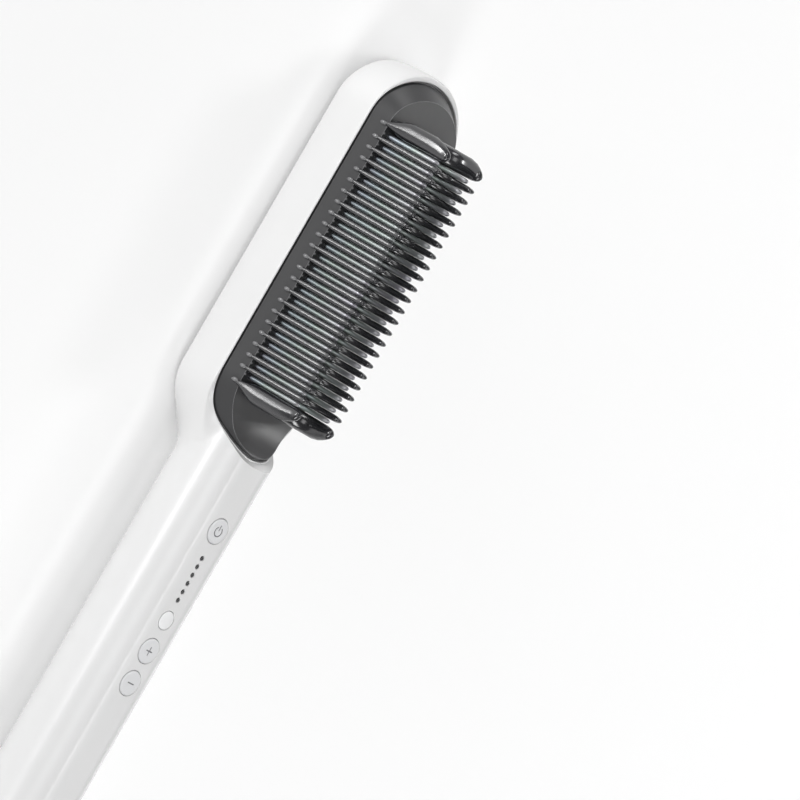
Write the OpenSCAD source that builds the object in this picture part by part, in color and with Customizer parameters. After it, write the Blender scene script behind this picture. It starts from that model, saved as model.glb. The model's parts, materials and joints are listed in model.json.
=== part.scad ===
// Heated straightening comb: an oval head with a comb of guard teeth and heated fins
// on a round handle with push buttons. Millimetres.
// The origin is the mouth of the cord bore. +X runs along the handle axis to the head's
// tip, and +Z is the way the teeth point. The head's rim lies on the handle axis, at Z = 0.

/* [Head] */
// Length of the head
head_l = 131.4; // [129:0.2:138]
// Width of the head at its rim
head_w = 44.4; // [43.8:0.2:46]
// Depth of the head shell behind its rim
head_depth = 15.8; // [15.6:0.1:17]
// Length of the head's rounded ends
head_end = 18.95; // [18.4:0.05:20]
// Rim left beside the comb cover, at the sides
lip_side = 1.2; // [1.1:0.1:1.5]
// Rim left beyond the comb cover, at the ends
lip_end = 2.4; // [2:0.1:3]
// Width of the ledge that the comb cover rests on
ledge = 1.2; // [1:0.1:1.4]
// Thickness of the head's floor
floor_t = 2; // [1.8:0.1:2.4]

/* [Back trim] */
// Shell edge left beside the bezel ring, at the sides
back_lip_side = 1.25; // [1.1:0.05:1.5]
// Shell edge left beyond the bezel ring, at the ends
back_lip_end = 1.8; // [1.5:0.1:2.4]
// Width of the bezel ring, at the sides
bezel_side = 3.5; // [3:0.1:4.5]
// Width of the bezel ring, at the ends
bezel_end = 4.9; // [4.4:0.1:6]
// Length of the back plate's rounded ends
plate_end = 14.6; // [14:0.1:16]
// Depth of the recess that holds the bezel and the plate
trim_t = 2; // [1.8:0.1:2.2]
// Height of the back plate above the shell's back edge
plate_proud = 1.4; // [1.2:0.1:2]
// Height of the bezel ring above the shell's back edge
bezel_proud = 0.2; // [0:0.05:0.4]
// Wall of the back plate
plate_wall = 1.2; // [1:0.1:1.6]

/* [Comb] */
// Distance from the head's ends to the ends of the comb
comb_margin = 16.4; // [15.8:0.1:17.6]
// Offset of the comb from the head's middle, towards the tip
comb_shift = 0.5; // [0:0.1:1]
// Number of heated fins
fins = 23; // [17:1:26]
// Thickness of a heated fin
fin_t = 1.1; // [1:0.05:1.2]
// Gap between a heated fin and the guard teeth beside it
tooth_gap = 0.22; // [0.2:0.02:0.3]
// Thickness of the end teeth of the comb
end_tooth_t = 6.3; // [5.6:0.1:7]
// Height of the cover's platform above the rim
platform_h = 4.8; // [4.4:0.1:5.4]
// Distance from the cover's edge to its platform
platform_inset = 4; // [3.6:0.1:4.4]
// Wall of the comb cover
cover_wall = 2; // [1.8:0.1:2.2]
// Radius of the ramp that rises from the platform to the handle
ramp_r = 17.8; // [16:0.2:22]
// Height of the ramp's end above the handle axis
ramp_top = 10.1; // [9.6:0.1:10.8]
// Depth of the ramp's edge below the surface of the handle
ramp_drop = 1.2; // [1:0.1:1.6]
// Height of the guard teeth above the rim
guard_h = 26; // [24:0.5:28]
// Half width of a guard tooth at its root
guard_root = 18; // [17:0.1:18]
// Distance of the tooth tips from the comb's middle plane
guard_spread = 8.8; // [8.4:0.1:9.6]
// Height of the valley between the two rows of tips
valley_h = 14; // [12:0.5:16]
// Height of the heated fins above the rim
fin_h = 22.6; // [21:0.2:23]
// Half width of a heated fin at its root
fin_root = 14; // [13:0.1:14.2]

/* [Heater] */
// Thickness of the heating plate under its fins
base_t = 2.4; // [2.2:0.1:2.6]
// Half width of the heating plate
base_half = 14.4; // [14.3:0.1:14.8]
// Thickness of an insulating sheet
sheet_t = 0.2; // [0.15:0.05:0.25]
// Thickness of an electrode strip
electrode_t = 0.4; // [0.3:0.05:0.5]
// Thickness of a ceramic heater block
ceramic_t = 2.4; // [2.2:0.1:2.6]
// Width of a ceramic heater block
ceramic_w = 12; // [10:0.5:13]
// Thickness of the clamp bar behind the heater
clamp_t = 2; // [1.6:0.1:2.2]
// Diameter of the thermal fuse
fuse_d = 3.6; // [3:0.1:3.8]
// Thickness of the heat shield
shield_t = 0.8; // [0.6:0.1:1]

/* [Handle] */
// Length of the handle tube, from the end cap to the head
handle_l = 135.1; // [130:0.5:150]
// Diameter of the handle
handle_d = 29.2; // [28.8:0.1:30]
// Wall of the handle tube
handle_wall = 2; // [1.8:0.1:2.2]
// Depth of the flat control strip below the round of the handle
strip_drop = 1.7; // [1.4:0.1:1.9]
// Thickness of the end cap's disc
cap_t = 2.5; // [2.2:0.1:3]
// Length of the end cap's spigot inside the tube
spigot_l = 5.5; // [5:0.1:7]

/* [Controls] */
// Diameter of the three buttons
button_d = 8.2; // [7.8:0.1:8.6]
// Gap between a button and its hole
button_gap = 0.3; // [0.2:0.05:0.4]
// Travel of a button
press = 0.5; // [0.3:0.05:0.6]
// Height of a button above the control strip
button_proud = 0.3; // [0.2:0.05:0.5]
// Distance from the comb cover to the power button
power_at = 24.2; // [22:0.2:26]
// Distance from the power button to the first level light
lights_at = 9.5; // [9:0.1:11]
// Number of level lights
lights = 6; // [4:1:6]
// Distance from one level light to the next
light_pitch = 2.93; // [2.6:0.01:3]
// Diameter of a level light's hole
light_d = 1.6; // [1.4:0.1:1.8]
// Distance from the last level light to the indicator lens
lens_at = 7.2; // [6.8:0.1:9]
// Diameter of the indicator lens
lens_d = 6.1; // [5.6:0.1:6.6]
// Distance from the indicator lens to the plus button
plus_at = 10.7; // [10.2:0.1:13]
// Distance from the plus button to the minus button
minus_at = 11.3; // [10.8:0.1:13]
// Thickness of the control board
board_t = 1.6; // [1.2:0.1:1.8]
// Height of a switch housing
switch_h = 3.3; // [3:0.1:3.6]
// Width of a switch housing
switch_w = 6; // [5.6:0.1:6.4]

/* [Cord swivel] */
// Diameter of the bore for the cord
cord_bore_d = 6.2; // [5.6:0.1:6.6]
// Length of the bore for the cord
cord_bore_l = 13; // [12:0.5:14]
// Length of the gland outside the end cap
gland_out = 8.7; // [8:0.1:11]
// Diameter of the gland's shoulder
shoulder_d = 16; // [14.6:0.2:17]
// Diameter of the gland where it turns in the end cap
neck_d = 12.4; // [12:0.1:12.8]
// Running gap of the gland in the end cap
swivel_gap = 0.3; // [0.25:0.05:0.4]

/* [Hidden] */
$fn = 72;
// Clearance between fixed pieces that fit together
fit = 0.15;
// Overlap of joined shapes
eps = 0.05;
// Extra length of a cut that runs through
over = 1;

// Places along the handle axis
cap_x = gland_out + swivel_gap;
tube_x = cap_x + cap_t;
head_x = tube_x + handle_l;
head_mid = head_x + head_l / 2;
cover_x = head_x + lip_end;
comb_x = head_mid + comb_shift;
spigot_x = tube_x + spigot_l;
sled_x = spigot_x + fit;
power_x = cover_x - power_at;
light_x = power_x - lights_at;
last_light_x = light_x - (lights - 1) * light_pitch;
lens_x = last_light_x - lens_at;
plus_x = lens_x - plus_at;
minus_x = plus_x - minus_at;

// Outlines of the head
head_corner = 0.8 * head_end;
cover_l = head_l - 2 * lip_end;
cover_w = head_w - 2 * lip_side;
cover_tip = head_end - lip_end;
cover_corner = 0.8 * cover_tip;
bezel_l = head_l - 2 * back_lip_end;
bezel_w = head_w - 2 * back_lip_side;
bezel_tip = head_end - back_lip_end;
bezel_corner = 0.8 * bezel_tip;
plate_l = bezel_l - 2 * bezel_end;
plate_w = bezel_w - 2 * bezel_side;
plate_corner = 0.8 * plate_end;

// Heights in the head
floor_z = -head_depth + trim_t + floor_t;
cover_under = platform_h - cover_wall;
base_top = cover_under - 0.2;
base_z = base_top - base_t;
upper_electrode_z = base_z - sheet_t - electrode_t;
ceramic_z = upper_electrode_z - ceramic_t;
lower_electrode_z = ceramic_z - electrode_t;
stack_z = lower_electrode_z - sheet_t;
clamp_z = stack_z - clamp_t;
fuse_z = clamp_z - fuse_d / 2;
shield_z = floor_z + 1.4;

// Slope of the white rim above the ramp's end: its width and its height
rim_slope = [2, 4];
// Depth of the wire passage below the comb cover, and its length into the head
passage = [1, 8];

// Comb
comb_l = head_l - 2 * comb_margin;
pitch = (comb_l - 2 * end_tooth_t - fin_t - 2 * tooth_gap) / (fins - 1);
guard_t = pitch - fin_t - 2 * tooth_gap;
fin_span = (fins - 1) * pitch / 2;
end_inner = comb_l / 2 - end_tooth_t;
end_tip = 0.33 * end_tooth_t;
guard_rise = 4.6;
fin_rise = 2;
root_z = platform_h - 1.6;
fin_spread = guard_spread - 0.8;
tip_r = 1.5;

// Screws: shank, pilot hole, clearance hole and head, and the recess that takes a head
shank_r = 1;
pilot_r = 1.05;
pass_r = 1.35;
screw_head_r = 2.1;
screw_head_h = 1.3;
recess_r = screw_head_r + fit;
recess_t = screw_head_h + 0.2;
boss_r = 2.6;
bite = 6;
cover_screw_dx = cover_l / 2 - 9.3;
cover_screw_y = 8;
post_r = 2.8;
post_top = -7;
heater_screw_dx = end_inner + 2.1;
heater_screw_y = 8;
clamp_half = end_inner - 1;
clamp_screw_dx = clamp_half - 6;
clamp_screw_y = ceramic_w / 2 + 5;
shield_half = end_inner + 2;
shield_w = 32;
shield_pin_dx = shield_half - 15;
shield_pin_y = shield_w / 2 - 4;
shield_pin_r = 1.1;

// Heater, measured from the comb's middle
heating_half = heater_screw_dx + recess_r;
sheet_half = end_inner;
electrode_half = sheet_half - 2;
tab_l = 8;
tab_w = 3;
tab_y = 4;
ceramics = 4;
ceramic_step = 2 * electrode_half / ceramics;
ceramic_l = ceramic_step - 1.5;
fuse_l = 12;
fuse_x = electrode_half / 2;
sensor_r = 1.1;
sensor_l = 5;
sensor_x = comb_x - sheet_half - 0.4 - sensor_l;

// Handle and controls, as heights above the handle axis
tube_r = handle_d / 2;
tube_in = tube_r - handle_wall;
flat_h = tube_r - strip_drop;
inner_flat = flat_h - handle_wall;
flange_top = inner_flat - 0.05;
flange_t = 0.55;
flange_over = 0.8;
button_low = flange_top - flange_t;
plunger_top = button_low - 0.4;
switch_top = plunger_top - press - 0.6;
board_top = switch_top - switch_h;
board_z = board_top - board_t;
sled_r = tube_in - 0.3;
sled_wall = 1.5;
board_half = sqrt(pow(sled_r, 2) - pow(board_top, 2));
board_x0 = minus_x - 19;
board_x1 = power_x + 15.5;
board_screw_inset = 3.4;
board_screw_y = 7;
sled_end = board_x1 + 2;
plunger_r = 1.6;
plunger_in = 0.5;
well_t = 1.3;
stem_r = 1.5;
sign_w = 0.4;
sign_l = 2.6;
sign_t = 0.2;
led_h = 0.8;
led_gap = 0.2;
guide_t = 2;
guide_over = 1.4;
lens_flange = 0.6;
lens_flange_t = 1;
wire_r = 0.9;
thin_wire_r = 0.45;
thin_wire_y = 0.6;
// The leads pass below the passage's roof and between the board's posts
lead_z = -cover_wall - passage.x - 1.6 * wire_r;
lead_y = board_screw_y - boss_r - 1.4 * wire_r;

// Parts on the board: start, length, half width and height
chip = [power_x + 6, 5, 2.5, 1.5];
triac = [power_x - 22, 15, 5, 4.5];
capacitor = [power_x - 40, 13, 4, 10];
heater_block = [sled_end - 16.5, 8, 5.2, board_z - lead_z + 1.6 * wire_r];
supply_block = [board_x0 + 6.4, 7, 4.6, 8];
fuse_tube = [power_x - 52, 9, 2];

// Cord swivel
hub_l = 2.5;
hub_r = neck_d / 2 + swivel_gap + 1.4;
spigot_wall = 1.6;
cap_bevel = 1;
clip_x = tube_x + hub_l + swivel_gap;
clip_t = 0.8;
clip_r = neck_d / 2 + 0.9;
clip_mouth = 4.8;
groove_r = neck_d / 2 - 0.7;
shaft_r = 4.6;
core_r = 1.6;
ring_r = 5.4;
ring_x = sled_x + 4.5;
ring_l = 2.5;
ring_step = 5;
shaft_end = ring_x + ring_step + ring_l + 1.5;
cap_boss_r = (tube_in - fit - clip_r - swivel_gap) / 2;
cap_screw_y = clip_r + swivel_gap + cap_boss_r;
bulkhead_t = 2.5;
brush_half = 1.2;
brush_y = 2;
brush_z = sled_r - sled_wall - 1.2;

// Radius of an oval's end arc, for its half width, its end's length and its corner radius
function end_arc(half, end, corner) =
    (end * end + pow(half - corner, 2) - corner * corner) / (2 * (end - corner));

// Rounded end of an oval, with its point at the origin
module oval_end(half, end, corner) {
    arc = end_arc(half, end, corner);
    far = 2 * arc;
    slant = far * (arc - end) / (half - corner);
    for (side = [-1, 1])
        translate([-end, side * (half - corner)]) circle(corner);
    intersection() {
        translate([-arc, 0]) circle(arc);
        polygon([[-arc, 0], [slant - arc, far], [slant + far, far], [slant + far, -far],
            [slant - arc, -far]]);
    }
}

// Oval outline round the origin: flattened ends, or a half circle for its tail
module oval(l, w, end, corner, round_tail = false) {
    tail = round_tail ? w / 2 : end;
    translate([-l / 2 + tail, -w / 2]) square([l - end - tail, w]);
    translate([l / 2, 0]) oval_end(w / 2, end, corner);
    if (round_tail) translate([-l / 2 + tail, 0]) circle(tail);
    else translate([-l / 2, 0]) mirror([1, 0]) oval_end(w / 2, end, corner);
}

// Outline of the comb cover, grown by a clearance or shrunk by a wall
module cover_outline(grow = 0) {
    oval(cover_l + 2 * grow, cover_w + 2 * grow, cover_tip + grow, cover_corner + grow, true);
}

module bezel_outline(grow = 0) {
    oval(bezel_l + 2 * grow, bezel_w + 2 * grow, bezel_tip + grow, bezel_corner + grow);
}

module plate_outline(grow = 0) {
    oval(plate_l + 2 * grow, plate_w + 2 * grow, plate_end + grow, plate_corner + grow);
}

// Prism on an outline in the head, from z0 to z1
module head_slab(z0, z1) {
    translate([head_mid, 0, z0]) linear_extrude(z1 - z0) children();
}

// Rod along X
module rod(x, l, r) {
    translate([x, 0, 0]) rotate([0, 90, 0]) cylinder(r = r, h = l);
}

// Disc or ring profile turned round the X axis: the profile is drawn as [radius, x]
module turned() {
    rotate([90, 0, 90]) rotate_extrude() children();
}

// Everything below a height
module below(z, x0, x1) {
    translate([x0, -head_w, z - 2 * head_w]) cube([x1 - x0, 2 * head_w, 2 * head_w]);
}

// Block given by its corner and its size
module block(x0, x1, half, z0, z1) {
    translate([x0, -half, z0]) cube([x1 - x0, 2 * half, z1 - z0]);
}

// Places of the four screws round a middle
module four(mid, dx, y) {
    for (sx = [-1, 1], sy = [-1, 1]) translate([mid + sx * dx, sy * y, 0]) children();
}

// Screw that points up, with the underside of its head at the origin
module screw(l) {
    translate([0, 0, -screw_head_h]) cylinder(r = screw_head_r, h = screw_head_h);
    cylinder(r = shank_r, h = l);
}

// Area under the ramp that climbs from the platform to the handle, as seen from the side
module ramp_area(drop) {
    foot_x = comb_x - comb_l / 2;
    difference() {
        translate([cover_x - over, -over]) square([foot_x - cover_x + 2 * over, ramp_r]);
        translate([foot_x, platform_h + ramp_r]) circle(ramp_r + drop);
    }
}

// Cross outline of a comb tooth: two leaning prongs with round tips and a valley between them
module tooth_outline(root_w, root_z, spread, top, valley) {
    prong = [for (turn = [0 : 22.5 : 180])
        [spread + tip_r * cos(turn), top - tip_r + tip_r * sin(turn)]];
    inner = spread - tip_r;
    difference() {
        polygon(concat([[-root_w, root_z], [root_w, root_z]], prong,
            [for (i = [len(prong) - 1 : -1 : 0]) [-prong[i].x, prong[i].y]]));
        translate([0, valley + inner]) circle(inner);
        translate([-inner, valley + inner]) square([2 * inner, top]);
    }
}

// Half of a tooth seen from the side: straight up to its shoulder, then an arc to its tip
module tooth_half(w, rise, root_z, top) {
    arc = (rise * rise + w * w) / (2 * w);
    translate([0, root_z]) square([w, top - rise - root_z]);
    intersection() {
        translate([w - arc, top - rise]) circle(arc);
        translate([0, top - rise - 1]) square([w, rise + 1]);
    }
}

// Comb tooth at the origin: its two faces lie at -back and +front from the line of its tip
module tooth(back, front, back_rise, front_rise, root_w, root_z, spread, top, valley) {
    intersection() {
        translate([-back, 0, 0]) rotate([90, 0, 90]) linear_extrude(back + front)
            tooth_outline(root_w, root_z, spread, top, valley);
        translate([0, root_w, 0]) rotate([90, 0, 0]) linear_extrude(2 * root_w) {
            tooth_half(front, front_rise, root_z, top);
            mirror([1, 0]) tooth_half(back, back_rise, root_z, top);
        }
    }
}

module guard_tooth() {
    tooth(guard_t / 2, guard_t / 2, guard_rise, guard_rise, guard_root, root_z, guard_spread,
        guard_h, valley_h);
}

// End tooth of the comb, thick on its outer side
module end_tooth() {
    tooth(end_tip, end_tooth_t - end_tip, guard_rise, 2 * guard_rise, guard_root, root_z,
        guard_spread, guard_h, valley_h);
}

module heated_fin() {
    tooth(fin_t / 2, fin_t / 2, fin_rise, fin_rise, fin_root, base_top - eps, fin_spread, fin_h,
        valley_h - 2);
}

// Path from one point to another that leaves and arrives along X
function ease(t) = (1 - cos(180 * t)) / 2;
function run(a, b, n = 12) = [for (i = [0 : n]) let (t = i / n)
    [a.x + (b.x - a.x) * t, a.y + (b.y - a.y) * ease(t), a.z + (b.z - a.z) * ease(t)]];
function unit(v) = v / norm(v);
function heading(path, i) = unit(path[min(i + 1, len(path) - 1)] - path[max(i - 1, 0)]);

// Round wire along a path
module wire(path, r, sides = 8) {
    n = len(path);
    points = [for (i = [0 : n - 1]) let (along = heading(path, i),
        across = unit(cross(along, [0, 0, 1])), up = cross(across, along))
        for (k = [0 : sides - 1])
            path[i] + r * (cos(360 * k / sides) * across + sin(360 * k / sides) * up)];
    walls = [for (i = [0 : n - 2], k = [0 : sides - 1]) let (a = i * sides, b = a + sides,
        next = (k + 1) % sides) [a + k, a + next, b + next, b + k]];
    ends = [[for (k = [sides - 1 : -1 : 0]) k], [for (k = [0 : sides - 1]) (n - 1) * sides + k]];
    polyhedron(points, concat(walls, ends));
}

// Handle tube's outer form, with its flat control strip
module tube_form(x0, x1, r, flat) {
    intersection() {
        rod(x0, x1 - x0, r);
        below(flat, x0 - over, x1 + over);
    }
}

// One-piece white shell: the head's tray and the handle's tube
module body_shell() {
    color("white") difference() {
        union() {
            head_slab(-head_depth, 0) oval(head_l, head_w, head_end, head_corner);
            tube_form(tube_x, head_x + head_end, tube_r, flat_h);
        }
        // pocket for the comb cover, and the sloped rim above its tail
        head_slab(-cover_wall, tube_r + over) cover_outline(fit);
        translate([cover_x + cover_w / 2, 0, ramp_top])
            cylinder(r1 = cover_w / 2, r2 = cover_w / 2 + rim_slope.x, h = rim_slope.y);
        // hollow of the head and recess for the back trim
        head_slab(floor_z, -cover_wall + eps) cover_outline(-ledge);
        head_slab(-head_depth - over, floor_z - floor_t) bezel_outline(fit);
        // hollow of the handle, open to the head below the comb cover's ledge
        tube_form(tube_x - over, cover_x - handle_wall, tube_in, inner_flat);
        tube_form(tube_x, cover_x + ledge + passage.y, tube_in - passage.x,
            -cover_wall - passage.x);
        shell_openings();
    }
    color("white") shell_posts();
}

// Holes of the control strip and of the head's floor
module shell_openings() {
    for (x = [power_x, plus_x, minus_x]) strip_hole(x, button_d + 2 * button_gap);
    strip_hole(lens_x, lens_d + 2 * fit);
    for (i = [0 : lights - 1]) strip_hole(light_x - i * light_pitch, light_d);
    four(head_mid, cover_screw_dx, cover_screw_y) translate([0, 0, floor_z - floor_t - over]) {
        cylinder(r = pass_r, h = floor_t + 2 * over);
        cylinder(r = recess_r, h = recess_t + over);
    }
}

module strip_hole(x, d) {
    translate([x, 0, inner_flat - over]) cylinder(d = d, h = handle_wall + 2 * over);
}

// Hollow posts for the cover screws, and posts with a pin for the heat shield
module shell_posts() {
    four(head_mid, cover_screw_dx, cover_screw_y) difference() {
        translate([0, 0, floor_z - eps]) cylinder(r = post_r, h = post_top - floor_z + eps);
        translate([0, 0, floor_z - over]) cylinder(r = pass_r, h = post_top - floor_z + 2 * over);
    }
    four(comb_x, shield_pin_dx, shield_pin_y) translate([0, 0, floor_z - eps]) {
        cylinder(r = 2 * shield_pin_r, h = shield_z - floor_z + eps);
        cylinder(r = shield_pin_r, h = shield_z + shield_t + 0.6 - floor_z);
    }
}

// Cap that closes the handle's end and carries the swivel
module end_cap() {
    bore = neck_d / 2 + swivel_gap;
    color("white") difference() {
        union() {
            intersection() {
                turned() polygon([[bore, cap_x], [tube_r - cap_bevel, cap_x],
                    [tube_r, cap_x + cap_bevel], [tube_r, tube_x], [bore, tube_x]]);
                below(flat_h, cap_x - over, tube_x + over);
            }
            difference() {
                tube_form(tube_x - eps, spigot_x, tube_in - fit, inner_flat - fit);
                tube_form(tube_x - over, spigot_x + over, tube_in - fit - spigot_wall,
                    inner_flat - fit - spigot_wall);
            }
            rod(tube_x - eps, hub_l + eps, hub_r);
            cap_screw_places() rod(tube_x - eps, spigot_l + eps, cap_boss_r);
        }
        rod(cap_x - over, cap_t + spigot_l + 2 * over, bore);
        cap_screw_places() {
            rod(cap_x - over, cap_t + spigot_l + 2 * over, pass_r);
            rod(cap_x - over, recess_t + over, recess_r);
        }
    }
}

module cap_screw_places() {
    for (side = [-1, 1]) translate([0, side * cap_screw_y, 0]) children();
}

module cap_screws() {
    color("dimgray") cap_screw_places()
        translate([cap_x + recess_t, 0, 0]) rotate([0, 90, 0])
            screw(cap_t - recess_t + spigot_l + fit + bulkhead_t);
}

// Places of the heated fins, or of the guard teeth between them
module along_comb(count) {
    for (i = [0 : count - 1]) translate([comb_x + (i - (count - 1) / 2) * pitch, 0, 0]) children();
}

// Dark cover of the head: platform, ramp to the handle, guard teeth and slots for the fins
module comb_cover() {
    color("dimgray") difference() {
        union() {
            cover_body();
            along_comb(fins - 1) guard_tooth();
            for (side = [0, 1]) translate([comb_x, 0, 0]) mirror([side, 0, 0])
                translate([end_inner + end_tip, 0, 0]) end_tooth();
            four(head_mid, cover_screw_dx, cover_screw_y) translate([0, 0, post_top])
                cylinder(r = boss_r, h = platform_h - 0.3 - post_top);
        }
        along_comb(fins) block(-fin_t / 2 - fit, fin_t / 2 + fit, fin_root + 2 * fit,
            cover_under - over, platform_h + over);
        four(head_mid, cover_screw_dx, cover_screw_y) translate([0, 0, post_top - over])
            cylinder(r = pilot_r, h = bite + 2 * over);
        four(comb_x, heater_screw_dx, heater_screw_y) translate([0, 0, cover_under - over])
            cylinder(r = pilot_r, h = bite + 2 * over);
    }
}

// Platform with sloped sides, hollow underneath, and the ramp at its tail
module cover_body() {
    difference() {
        union() {
            head_slab(-cover_wall, 0) cover_outline();
            hull() {
                head_slab(-0.4, -0.3) cover_outline(-0.1, $fn = 32);
                head_slab(platform_h - eps, platform_h) cover_outline(-platform_inset, $fn = 32);
            }
            ramp_solid(0);
        }
        head_slab(-cover_wall - over, over - cover_wall) cover_outline(-ledge - 0.4);
        hull() {
            head_slab(-cover_wall, over - cover_wall) cover_outline(-ledge - 0.9, $fn = 32);
            head_slab(cover_under - eps, cover_under)
                cover_outline(-platform_inset - 1.4, $fn = 32);
        }
        ramp_solid(cover_wall);
    }
}

// Block under the ramp, inside the handle's round form, or the hollow inside its wall
module ramp_solid(wall) {
    intersection() {
        head_slab(-over, tube_r) cover_outline(-wall);
        translate([0, tube_r, 0]) rotate([90, 0, 0]) linear_extrude(2 * tube_r) ramp_area(wall);
        tube_form(cover_x - over, cover_x + cover_w / 2, tube_r - ramp_drop - wall,
            ramp_top - wall);
    }
}

module cover_screws() {
    color("dimgray") four(head_mid, cover_screw_dx, cover_screw_y)
        translate([0, 0, floor_z - floor_t + recess_t])
            screw(post_top - floor_z + floor_t - recess_t + bite);
}

module back_bezel() {
    color("gray") difference() {
        head_slab(-head_depth - bezel_proud, floor_z - floor_t) bezel_outline();
        head_slab(-head_depth - over, floor_z) plate_outline(fit);
    }
}

// Hollow plate with a stepped edge
module back_plate() {
    step = 0.4;
    color("silver") difference() {
        union() {
            head_slab(step - head_depth - plate_proud, floor_z - floor_t) plate_outline();
            head_slab(-head_depth - plate_proud, floor_z - floor_t - over) plate_outline(-step);
        }
        head_slab(-head_depth - plate_proud + plate_wall, floor_z) plate_outline(-1.5 * plate_wall);
    }
}

// Finned plate that heats the hair, with screw bosses underneath for the clamp
module heating_plate() {
    color("slategray") difference() {
        union() {
            block(comb_x - heating_half, comb_x + heating_half, base_half, base_z, base_top);
            along_comb(fins) heated_fin();
            clamp_screw_places() translate([0, 0, stack_z])
                cylinder(r = boss_r, h = base_z - stack_z + eps);
        }
        clamp_screw_places() translate([0, 0, stack_z - over])
            cylinder(r = pilot_r, h = base_z - stack_z + 2 * over);
        four(comb_x, heater_screw_dx, heater_screw_y) translate([0, 0, base_z - over])
            cylinder(r = pass_r, h = base_t + 2 * over);
    }
}

module clamp_screw_places() {
    four(comb_x, clamp_screw_dx, clamp_screw_y) children();
}

module plate_screws() {
    color("silver") four(comb_x, heater_screw_dx, heater_screw_y)
        translate([0, 0, base_z]) screw(base_t + bite);
}

module insulator(z) {
    color("orange")
        block(comb_x - sheet_half, comb_x + sheet_half, ceramic_w / 2 + 1, z, z + sheet_t);
}

module upper_insulator() {
    insulator(base_z - sheet_t);
}

module lower_insulator() {
    insulator(stack_z);
}

// Electrode strip, with a tab at its end that is turned to the handle
module electrode(z) {
    color("goldenrod") translate([0, 0, z]) {
        block(comb_x - electrode_half, comb_x + electrode_half, ceramic_w / 2, 0, electrode_t);
        translate([comb_x - electrode_half - tab_l, tab_y - tab_w / 2, 0])
            cube([tab_l + eps, tab_w, electrode_t]);
    }
}

module upper_electrode() {
    electrode(upper_electrode_z);
}

// Strip under the ceramic blocks: its tab is turned to the tip of the head
module lower_electrode() {
    translate([2 * comb_x, 0, 0]) rotate([0, 0, 180]) electrode(lower_electrode_z);
}

module ceramic_heaters() {
    color("ivory") for (i = [0 : ceramics - 1])
        translate([comb_x + (i - (ceramics - 1) / 2) * ceramic_step, 0, 0])
            block(-ceramic_l / 2, ceramic_l / 2, ceramic_w / 2, ceramic_z, ceramic_z + ceramic_t);
}

module heater_clamp() {
    color("silver") difference() {
        block(comb_x - clamp_half, comb_x + clamp_half, clamp_screw_y + boss_r, clamp_z, stack_z);
        clamp_screw_places() translate([0, 0, clamp_z - over])
            cylinder(r = pass_r, h = clamp_t + 2 * over);
    }
}

module clamp_screws() {
    color("silver") clamp_screw_places()
        translate([0, 0, clamp_z]) screw(clamp_t + base_z - stack_z - 0.5);
}

module thermal_fuse() {
    color("silver") translate([0, -tab_y, fuse_z]) rod(comb_x + fuse_x, fuse_l, fuse_d / 2);
}

// Bead sensor that lies under the heating plate, beyond the ceramic heaters
module temperature_sensor() {
    color("orangered") translate([0, 0, base_z - sensor_r]) rod(sensor_x, sensor_l, sensor_r);
}

module heat_shield() {
    color("tan") difference() {
        block(comb_x - shield_half, comb_x + shield_half, shield_w / 2, shield_z,
            shield_z + shield_t);
        four(comb_x, shield_pin_dx, shield_pin_y) translate([0, 0, shield_z - over])
            cylinder(r = shield_pin_r + fit, h = shield_t + 2 * over);
    }
}

// Lead that leaves the board's terminal straight, clears the passage and then rises to its end
function lead(y, end) = concat([[heater_block[0] + heater_block[1], y, lead_z]],
    run([cover_x + 2 * ledge, y, lead_z], end));

// Leads from the control board to the heater, one of them through the thermal fuse
module heater_wires() {
    tab_mid = electrode_half + tab_l / 2;
    fuse_end = comb_x + fuse_x + fuse_l + eps;
    color("firebrick") {
        wire(lead(lead_y, [comb_x - tab_mid, tab_y, upper_electrode_z - wire_r - eps]), wire_r);
        wire(concat(lead(-lead_y, [comb_x - sheet_half, -tab_y, fuse_z]),
            [[comb_x + fuse_x - eps, -tab_y, fuse_z]]), wire_r);
        wire(concat([[fuse_end, -tab_y, fuse_z]],
            run([comb_x + clamp_half + 1.5 * wire_r, -tab_y, fuse_z],
                [comb_x + electrode_half + tab_l - wire_r, -tab_y,
                    lower_electrode_z - wire_r - eps])), wire_r);
    }
}

module sensor_wires() {
    color("black") for (side = [-1, 1])
        wire(lead(side * thin_wire_y, [sensor_x - eps, side * thin_wire_y, base_z - sensor_r]),
            thin_wire_r);
}

// Half pipe that carries the board in the handle, with a bulkhead for the end cap's screws
module control_sled() {
    color("gainsboro") difference() {
        union() {
            difference() {
                tube_form(sled_x, sled_end, sled_r, board_z);
                tube_form(sled_x + bulkhead_t, sled_end + over, sled_r - sled_wall,
                    board_z + over);
            }
            tube_form(sled_x, sled_x + bulkhead_t, sled_r, inner_flat - 2 * fit);
            board_screw_places() translate([0, 0, -sled_r])
                cylinder(r = boss_r, h = board_z + sled_r);
        }
        // nothing stands out of the sled's round form
        difference() {
            rod(sled_x - over, sled_end - sled_x + 2 * over, 2 * sled_r);
            rod(sled_x - 2 * over, sled_end - sled_x + 4 * over, sled_r);
        }
        rod(sled_x - over, bulkhead_t + 2 * over, ring_r + 0.6);
        cap_screw_places() rod(sled_x - over, bulkhead_t + 2 * over, pilot_r);
        board_screw_places() translate([0, 0, board_z - bite])
            cylinder(r = pilot_r, h = bite + over);
    }
}

module board_screw_places() {
    for (x = [board_x0 + board_screw_inset, board_x1 - board_screw_inset], side = [-1, 1])
        translate([x, side * board_screw_y, 0]) children();
}

module control_board() {
    color("seagreen") difference() {
        block(board_x0, board_x1, board_half, board_z, board_top);
        board_screw_places() translate([0, 0, board_z - over])
            cylinder(r = pass_r, h = board_t + 2 * over);
    }
}

module board_screws() {
    color("silver") board_screw_places() translate([0, 0, board_top]) mirror([0, 0, 1])
        screw(board_t + bite - over);
}

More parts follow.
